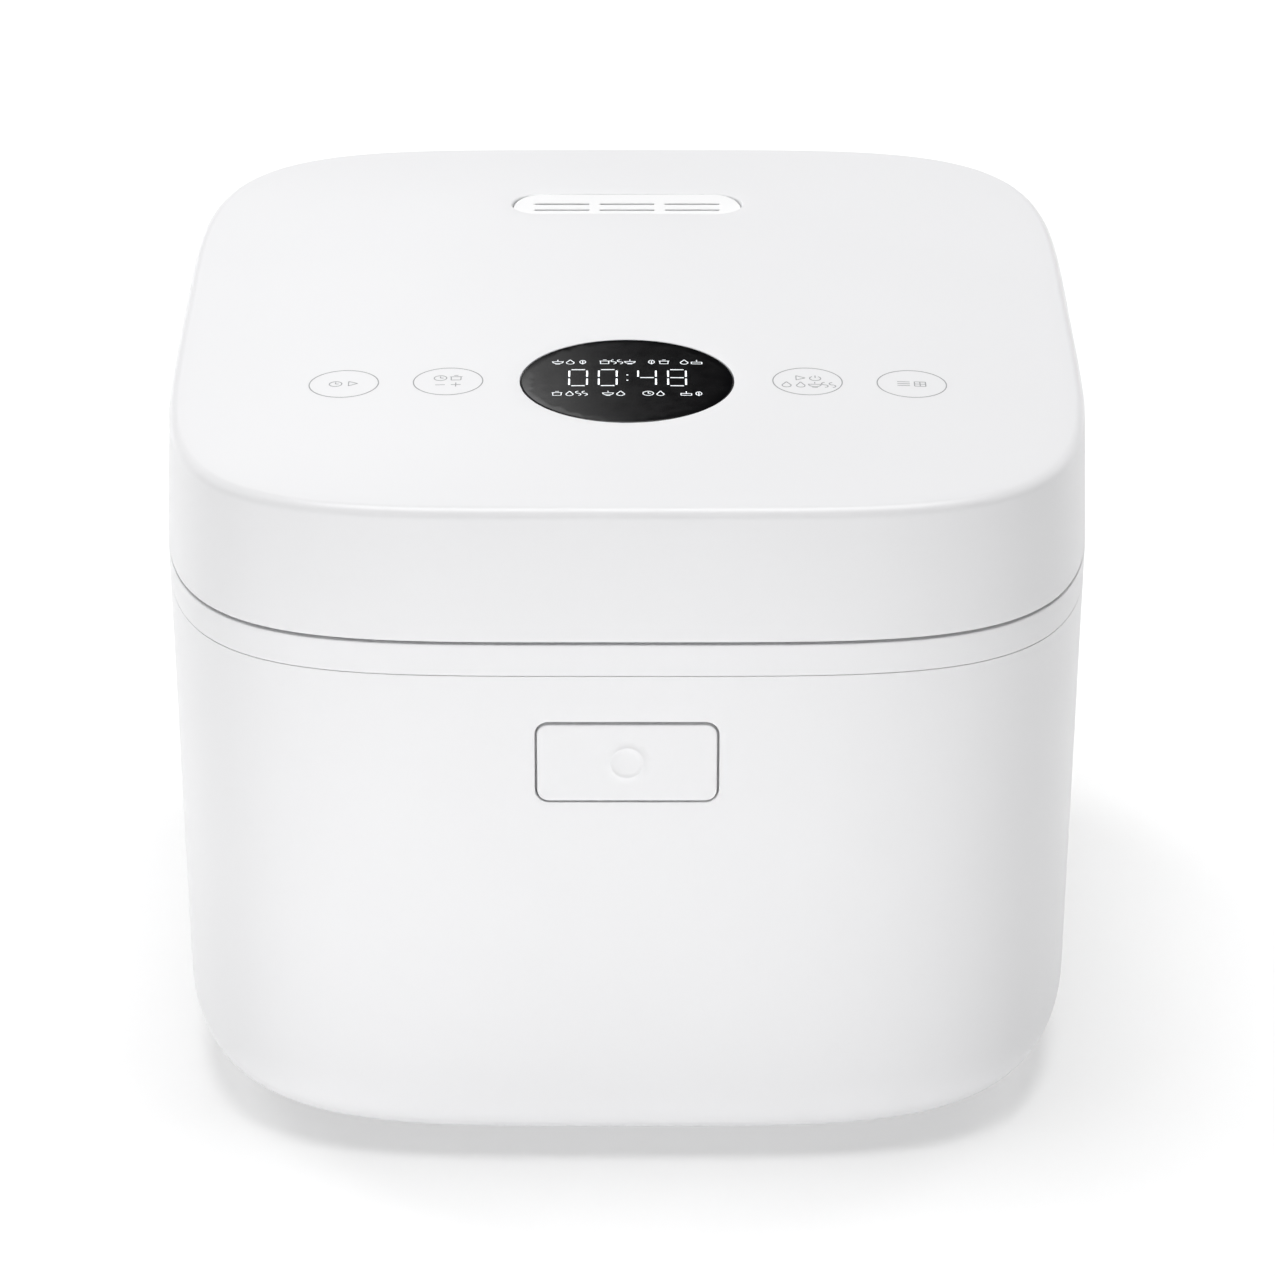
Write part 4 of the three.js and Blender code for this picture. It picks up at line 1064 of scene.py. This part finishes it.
def make_steam_well():
    """The well in the lid that holds the steam box, and the sleeve under its drain."""
    low, high = corners("steam_well")
    rim, inner = stadium(73, 21.2, 24), stadium(69.8, 18, 24)
    drain = disc(5, count=40)
    stand_in("steam_well", tray_skin(rim, inner, drain, low.z, high.z, 1.6))
    low, high = corners("steam_sleeve")
    profile = [(6.2, low.z, 0.5), (9, low.z, 0.5), (9, high.z, 0.5), (6.2, high.z, 0.5)]
    make_turned("steam_sleeve", profile, 0, STEAM.y, 64)


# ---------------------------------------------------------------- turned pieces


def rounded_profile(points, steps=4):
    """A [radius, z] profile whose points may carry a rounding: [radius, z, rounding]."""
    places = np.array([point[:2] for point in points], float)
    result = []
    for i, (_, _, *rounding) in enumerate(points):
        if rounding:
            result += turn_at(places[i - 1], places[i], places[(i + 1) % len(places)], rounding[0], steps)
        else:
            result.append(places[i])
    return result


def make_turned(node, profile, x=0.0, y=0.0, count=128, steps=4, finish=None):
    skin = Skin()
    skin.turned(rounded_profile(profile, steps), x, y, count)
    return stand_in(node, skin, finish)


def make_pot():
    """The pot, whose flange rests on the collar."""
    low, high = corners("inner_pot")
    bottom, top = low.z, high.z
    inner, wall, corner, draft = 100.0, 2.0, 22.0, 1.5
    profile = [(0, bottom), (inner + wall - draft, bottom, corner), (inner + wall, top - wall, 0.5)]
    profile += [(high.x, top - wall, 0.9), (high.x, top, 0.9), (inner, top, 1.4)]
    profile += [(inner - draft, bottom + wall, corner), (0, bottom + wall)]
    make_turned("inner_pot", profile, count=192, steps=12)


def make_cooker():
    """The housing, the heating plate and the thermostat's cap, all under the pot."""
    low, high = corners("heating_plate")
    groove = low.z + 5.5
    profile = [(18, low.z), (55.8, low.z), (55.8, groove, 0.5), (64.4, groove, 0.5), (64.4, low.z)]
    profile += [(80, low.z, 0.5), (80, high.z, 1.2), (18, high.z, 1.0)]
    make_turned("heating_plate", profile)
    low, high = corners("inner_housing")
    bottom, top = low.z, high.z
    profile = [(45, bottom), (98, bottom, 4), (107, bottom + 9, 4), (107, top, 0.3), (106, top, 0.3)]
    profile += [(106, bottom + 9.4, 4), (97.6, bottom + 1, 4), (45, bottom + 1)]
    make_turned("inner_housing", profile, count=160)
    low, high = corners("sensor_cap")
    under = high.z - 2.7
    profile = [(0, low.z), (5, low.z, 0.4), (5, under), (16.5, under, 0.5), (16.5, high.z, 1.2), (0, high.z)]
    make_turned("sensor_cap", profile, count=96)


def make_lid_liner():
    """The lid's underside: a ceiling over the inner lid, and a flat rim out to the lid's wall."""
    low, high = corners("lid_liner")
    bottom, top = low.z, high.z
    ceiling, edge = top - 2, WALL + 0.4
    hub = 30
    rings = [circle(hub, ceiling), circle(100, ceiling)]
    rings += [circle(104 - 0.15 * s, ceiling - 4 * s * s) for s in (0.25, 0.5, 0.75, 1)]
    rings += [circle(105 + inset, bottom + drop) for drop, inset in fillet(1.0, 4)]
    rings += [outline(bottom + drop, edge + inset) for drop, inset in fillet(0.5, 3)[::-1]]
    rings += [outline(bottom + 2.2, edge), circle(107, bottom + 2.2), circle(106, top), circle(hub, top)]
    skin = Skin()
    skin.closed_tube(rings)
    catch = box_skin(-9, 9, -137, -122, 160, 168)
    # radius and place of the holes for the steam, the probe and the bracket's screws
    holes = ((6, 0, STEAM.y), (4.5, 0, PROBE_Y), (1.6, -38, 124), (1.6, 38, 124))
    carve(stand_in("lid_liner", skin), [catch] + [post_skin(*hole, 160, 180) for hole in holes])


def make_inner_lid():
    """The pressed metal plate over the pot, with three steam holes and one for the probe."""
    low, high = corners("inner_lid")
    foot, top = low.z, high.z
    under = top - 1
    profile = [(0, under), (40, under, 2), (41.5, under - 0.5, 1), (45, under - 0.5, 1), (46.5, under, 2)]
    profile += [(92, under, 1.5), (96, foot, 1.0), (99.4, foot, 0.3), (99.4, foot + 1, 0.3)]
    profile += [(96.3, foot + 1, 1.0), (92.3, top, 1.0), (0, top)]
    obj = make_turned("inner_lid", profile, count=192, finish="spun_metal")
    holes = [(2, x, STEAM.y - 2) for x in (-6, 0, 6)] + [(5.6, 0, PROBE_Y)]
    carve(obj, [post_skin(*hole, foot - 3, top + 3, 48) for hole in holes])


def make_seal_and_probe():
    """The gasket round the inner lid, and the temperature probe that goes through it."""
    low, high = corners("lid_gasket")
    profile = [(101.2, low.z, 0.4), (102.8, low.z, 0.5), (103.4, high.z, 0.6), (97, high.z, 0.5), (97, 168.9)]
    profile += [(99.8, 168.9), (99.8, 167.3), (97, 167.3), (97, 166, 0.5)]
    make_turned("lid_gasket", profile, count=192)
    low, high = corners("lid_probe")
    profile = [(0, low.z), (5, low.z, 0.9), (5, 170.8), (7, 170.8, 0.2), (7, 172.2, 0.2), (4, 172.2)]
    profile += [(4, high.z, 0.4), (0, high.z)]
    make_turned("lid_probe", profile, 0, PROBE_Y, 64)


# ---------------------------------------------------------------- prints and lights on the lid


class Ink:
    """Marks drawn on the lid's top with a pen of even width, about a middle that can move."""

    def __init__(self, width, lift=0.04):
        self.skin = Skin()
        self.width, self.lift, self.at = width, lift, (0.0, 0.0)

    def shape(self, points):
        place = lambda u, v, h: (u, v, float(crown(u, v)) + h)
        self.skin.prism([(self.at[0] + u, self.at[1] + v) for u, v in points], place, -0.05, self.lift)

    def line(self, *points):
        """Bars of the pen's width from each point to the next."""
        for (x0, y0), (x1, y1) in zip(points, points[1:]):
            length = math.hypot(x1 - x0, y1 - y0)
            nx, ny = (y0 - y1) / length * self.width / 2, (x1 - x0) / length * self.width / 2
            self.shape([(x0 - nx, y0 - ny), (x1 - nx, y1 - ny), (x1 + nx, y1 + ny), (x0 + nx, y0 + ny)])

    def arc(self, x, y, radius, start=0.0, end=360.0):
        """Part of a ring, from start to end degrees."""
        steps = max(8, int(abs(end - start) / 360 * max(24, radius * 16)))
        angles = np.radians(np.linspace(start, end, steps + 1))
        loops = []
        for edge, h in ((-1, -0.05), (-1, self.lift), (1, self.lift), (1, -0.05)):
            r = radius + edge * self.width / 2
            u, v = self.at[0] + x + r * np.cos(angles), self.at[1] + y + r * np.sin(angles)
            loops.append(np.column_stack([u, v, crown(u, v) + h]))
        if abs(end - start) >= 360:
            self.skin.tube([loop[:-1] for loop in loops], close=True)
            return
        ids = [self.skin.add(loop) for loop in loops]
        for a, b in zip(ids, ids[1:] + ids[:1]):
            self.skin.faces.extend((a[i], a[i + 1], b[i + 1], b[i]) for i in range(steps))
        self.skin.cap([a[0] for a in ids])
        self.skin.cap([a[-1] for a in ids])

    def glyph(self, name, x, y, size):
        """A pictogram, drawn in a square of 2 by 2 and scaled to size."""
        self.at = (x, y)
        s = size / 2
        for stroke in GLYPHS[name]:
            if isinstance(stroke, tuple):
                u, v, radius, start, end = stroke
                self.arc(u * s, v * s, radius * s, start, end)
                continue
            self.line(*[(u * s, v * s) for u, v in stroke])


def bar(x0, x1, y):
    """A level stroke."""
    return [(x0, y), (x1, y)]


def box_stroke(x, y0, y1):
    """A rectangle about the middle line."""
    return [(-x, y0), (x, y0), (x, y1), (-x, y1), (-x, y0)]


# strokes of the pictograms: lists are polylines, tuples are arcs as (x, y, radius, from, to in degrees)
GLYPHS = {
    "bowl": [bar(-1, 1, 0.2), (0, 0.2, 0.9, 180, 360), bar(-0.4, 0.4, -0.9), [(0, 0.5), (0, 1)]],
    "pot": [bar(-0.9, 0.9, 0.4), [(-0.7, 0.3), (-0.7, -0.8), (0.7, -0.8), (0.7, 0.3)], bar(-0.3, 0.3, 0.9)],
    "flame": [(0, -0.3, 0.65, 150, 390), [(-0.55, 0), (0, 1), (0.55, 0)]],
    "drop": [(0, -0.35, 0.6, 140, 400), [(-0.45, 0.05), (0, 1), (0.45, 0.05)]],
    "steam": [(x, y, 0.45, turn, turn + 180) for x in (-0.6, 0.5) for y, turn in ((0.5, 90), (-0.4, -90))],
    "grain": [(-0.4, 0, 0.9, -60, 60), (0.4, 0, 0.9, 120, 240), [(0, -1), (0, 0.6)]],
    "cake": [box_stroke(0.9, -0.8, 0), [(0, 0.1), (0, 0.9)]],
    "clock": [(0, 0, 0.9, 0, 360), [(0, 0.6), (0, 0), (0.45, 0)]],
    "plus": [bar(-0.7, 0.7, 0), [(0, -0.7), (0, 0.7)]],
    "minus": [bar(-0.7, 0.7, 0)],
    "play": [[(-0.5, -0.8), (0.8, 0), (-0.5, 0.8), (-0.5, -0.8)]],
    "power": [(0, -0.1, 0.8, 125, 415), [(0, 0.1), (0, 0.95)]],
    "bars": [bar(-0.9, 0.9, y) for y in (0.7, 0, -0.7)],
    "grid": [box_stroke(0.8, -0.8, 0.8), bar(-0.8, 0.8, 0), [(0, -0.8), (0, 0.8)]],
}

KEY_X = [middle(f"touch_contact_{i}").x for i in range(1, 5)]
KEY_RADIUS = 9.7
KEY_GLYPH_SIZE = 3.9
KEY_PEN, RING_PEN, MODE_PEN, DIGIT_PEN = 0.3, 0.34, 0.26, 0.5
# what is on each key: pictograms about its middle
KEY_GLYPHS = (
    (("clock", -2.31, 0), ("play", 2.31, 0)),
    (("clock", -2.2, 2.42), ("pot", 2.2, 2.42), ("minus", -2.2, -2.42), ("plus", 2.2, -2.42)),
    (
        ("play", -2.2, 2.42), ("power", 2.2, 2.42),
        ("flame", -5.94, -2.42), ("drop", -1.98, -2.42), ("bowl", 1.98, -2.42), ("steam", 5.94, -2.42),
    ),
    (("bars", -2.31, 0), ("grid", 2.31, 0)),
)
MODE_SIZE = 3.3
# the two rows of mode marks on the display: height above its middle, and what stands where
MODE_ROWS = (
    (13.0, (
        (-19.5, "bowl"), (-16, "flame"), (-12.5, "grain"), (-6.3, "pot"), (-2.8, "steam"), (0.8, "bowl"),
        (6.9, "grain"), (10.4, "pot"), (16.1, "flame"), (19.6, "cake"),
    )),
    (-9.8, (
        (-19.5, "pot"), (-16, "drop"), (-12.6, "steam"), (-5.3, "bowl"), (-1.8, "flame"), (5.9, "clock"),
        (9.3, "drop"), (16.5, "cake"), (20, "grain"),
    )),
)
DIGITS = "0048"
DIGIT_X = (-13.7, -5.4, 5.6, 14.0)
DIGIT_Y = 1.5
DIGIT_HALF = (2.5, 5.8)
BAR_GAP = 0.75  # how far an upright bar's end stays from the corner of its digit
COLON = (0.1, 1.9)  # the colon's x, and how far its dots are above and below the middle
# which of its bars a digit lights: top, upper right, lower right, bottom, lower left, upper left, middle
BARS = {"0": "1111110", "4": "0110011", "8": "1111111"}


def make_prints():
    """The touch keys: a printed ring round each one's pictograms."""
    ink = Ink(RING_PEN)
    for x, marks in zip(KEY_X, KEY_GLYPHS):
        ink.at = (x, DISPLAY.y)
        ink.width = RING_PEN
        ink.arc(0, 0, KEY_RADIUS)
        ink.width = KEY_PEN
        for name, u, v in marks:
            ink.glyph(name, x + u, DISPLAY.y + v, KEY_GLYPH_SIZE)
    piece("key_prints", ink.skin, "lid", "print_grey")


def draw_digit(digit, level_ink, upright_ink):
    """The bars of a digit; the level ones glow less than the upright ones."""
    top, right_up, right_down, bottom, left_down, left_up, centre = (bar == "1" for bar in BARS[digit])
    x, y = DIGIT_HALF
    reach = x - BAR_GAP * 0.8
    for on, height in ((top, y), (centre, 0), (bottom, -y)):
        if on:
            level_ink.line((-reach, height), (reach, height))
    for on, side, up in ((right_up, 1, 1), (right_down, 1, -1), (left_down, -1, -1), (left_up, -1, 1)):
        if on:
            upright_ink.line((side * x, up * BAR_GAP), (side * x, up * (y - BAR_GAP)))


def make_digits():
    """The time on the display, and the row of mode marks above and below it."""
    bright, dim, marks = Ink(DIGIT_PEN), Ink(DIGIT_PEN), Ink(MODE_PEN)
    for x, digit in zip(DIGIT_X, DIGITS):
        bright.at = dim.at = (x, DISPLAY.y + DIGIT_Y)
        draw_digit(digit, dim, bright)
    bright.at = (COLON[0], DISPLAY.y + DIGIT_Y)
    for y in (-COLON[1], COLON[1]):
        bright.line((-DIGIT_PEN / 2, y), (DIGIT_PEN / 2, y))
    for y, row in MODE_ROWS:
        for x, name in row:
            marks.glyph(name, x, DISPLAY.y + y, MODE_SIZE)
    piece("clock_digits", bright.skin, "lid", "lamp_white")
    piece("clock_bars", dim.skin, "lid", "lamp_soft")
    piece("mode_marks", marks.skin, "lid", "lamp_soft")


# ---------------------------------------------------------------- stage


FLOOR_COLOR = (0.7, 0.7, 0.7)
FLOOR_GLOW = (0.3, 0.95)  # beside the object, and far from it
FLOOR_RANGE = (0.5, 3.0)  # metres from the object between which the glow rises
FLOOR_REACH = 30.0
AIM = (0, 0, 0.1)
# name, place, aim, width, height, power in watts, and whether smooth surfaces mirror it
LAMPS = (
    ("top", (0, 0, 2.3), AIM, 1.5, 1.5, 48, True),
    ("over_left", (-1.45, -0.1, 1.8), AIM, 1.2, 1.2, 3.7, True),
    ("over_right", (1.45, -0.1, 1.8), AIM, 1.2, 1.2, 3.3, True),
    ("back_left", (-1.6, 1.6, 0.8), AIM, 0.9, 1.3, 26, False),
    ("back_right", (1.6, 1.6, 0.8), AIM, 0.9, 1.3, 13, False),
    ("sheen", (-0.36, 2.0, 1.33), (-0.36, 0, 1.33), 0.6, 0.6, 1.6, True),
    ("low_left", (-0.34, -0.45, 0.06), (-0.05, -0.05, 0.09), 0.35, 0.08, 0.4, False),
    ("low_front", (0, -0.48, 0.06), (0, -0.05, 0.09), 0.35, 0.08, 0.4, False),
    ("low_right", (0.34, -0.45, 0.06), (0.05, -0.05, 0.09), 0.35, 0.08, 0.1, False),
)
PITCH = 24.94  # degrees that the camera looks down
DISTANCE = 1.6734
TARGET_DROP = 64.6  # how far under the seam it looks
LENS, SENSOR = 158.92, 36
SHIFT = 0.0086


def make_floor():
    """A pale floor that glows a little, and more with distance, so that it looks even out to its edge."""
    r = FLOOR_REACH
    mesh = bpy.data.meshes.new("floor")
    mesh.from_pydata([(-r, -r, 0), (r, -r, 0), (r, r, 0), (-r, r, 0)], [], [(0, 1, 2, 3)])
    floor = bpy.data.objects.new("floor", mesh)
    bpy.context.scene.collection.objects.link(floor)
    tree, shader = principled("floor_paint", FLOOR_COLOR, 0.9, Emission_Color=(1, 1, 1, 1))
    dark = tuple(c * 0.99 for c in FLOOR_COLOR)
    tree.links.new(tint(tree, noise(tree, 3), dark, FLOOR_COLOR), shader.inputs["Base Color"])
    place = add_node(tree, "TexCoord")
    distance = add_node(tree, "VectorMath")
    distance.operation = "LENGTH"
    tree.links.new(place.outputs["Object"], distance.inputs[0])
    glow = spread(tree, distance.outputs["Value"], *FLOOR_GLOW, *FLOOR_RANGE)
    tree.links.new(glow, shader.inputs["Emission Strength"])
    mesh.materials.append(MATERIALS["floor_paint"])


def make_world():
    """The floor's own paleness beyond its edge, for the camera only."""
    world = bpy.data.worlds.new("world")
    world.use_nodes = True
    tree = world.node_tree
    background = tree.nodes["Background"]
    background.inputs["Color"].default_value = (FLOOR_GLOW[1],) * 3 + (1,)
    path = add_node(tree, "LightPath")
    tree.links.new(path.outputs["Is Camera Ray"], background.inputs["Strength"])
    bpy.context.scene.world = world


def make_lights():
    """The lamps, which light the object but don't show in the picture."""
    for name, place, aim, width, height, power, mirrored in LAMPS:
        light = bpy.data.lights.new(name, "AREA")
        light.shape = "RECTANGLE"
        light.size = width
        light.size_y = height
        light.energy = power
        obj = bpy.data.objects.new(name, light)
        obj.location = place
        obj.rotation_euler = (Vector(aim) - Vector(place)).to_track_quat("-Z", "Y").to_euler()
        obj.visible_camera = False
        obj.visible_glossy = mirrored
        bpy.context.scene.collection.objects.link(obj)


def make_camera():
    """A long lens in front of the object, looking down at the casing's middle."""
    pitch = math.radians(PITCH)
    target = Vector((0, CENTRE_Y, SEAM_Z - TARGET_DROP)) * MM
    camera = bpy.data.objects.new("camera", bpy.data.cameras.new("camera"))
    camera.location = target + Vector((0, -math.cos(pitch), math.sin(pitch))) * DISTANCE
    camera.rotation_euler = (math.pi / 2 - pitch, 0, 0)
    camera.data.sensor_width = SENSOR
    camera.data.lens = LENS
    camera.data.shift_x = SHIFT
    camera.data.clip_start = 0.01
    camera.data.clip_end = 200
    bpy.context.scene.collection.objects.link(camera)
    bpy.context.scene.camera = camera
    bpy.context.scene.view_settings.view_transform = "Standard"


make_camera()
make_floor()
make_world()
make_lights()
dress_frame()
make_outer_shell()
make_collar()
make_button()
make_base()
make_hinge()
make_inlet()
make_latch()
make_lid_shell()
make_display()
make_prints()
make_digits()
make_steam_cap()
make_steam_box()
make_steam_well()
make_pot()
make_cooker()
make_thermostat_spring()
make_lid_liner()
make_inner_lid()
make_seal_and_probe()
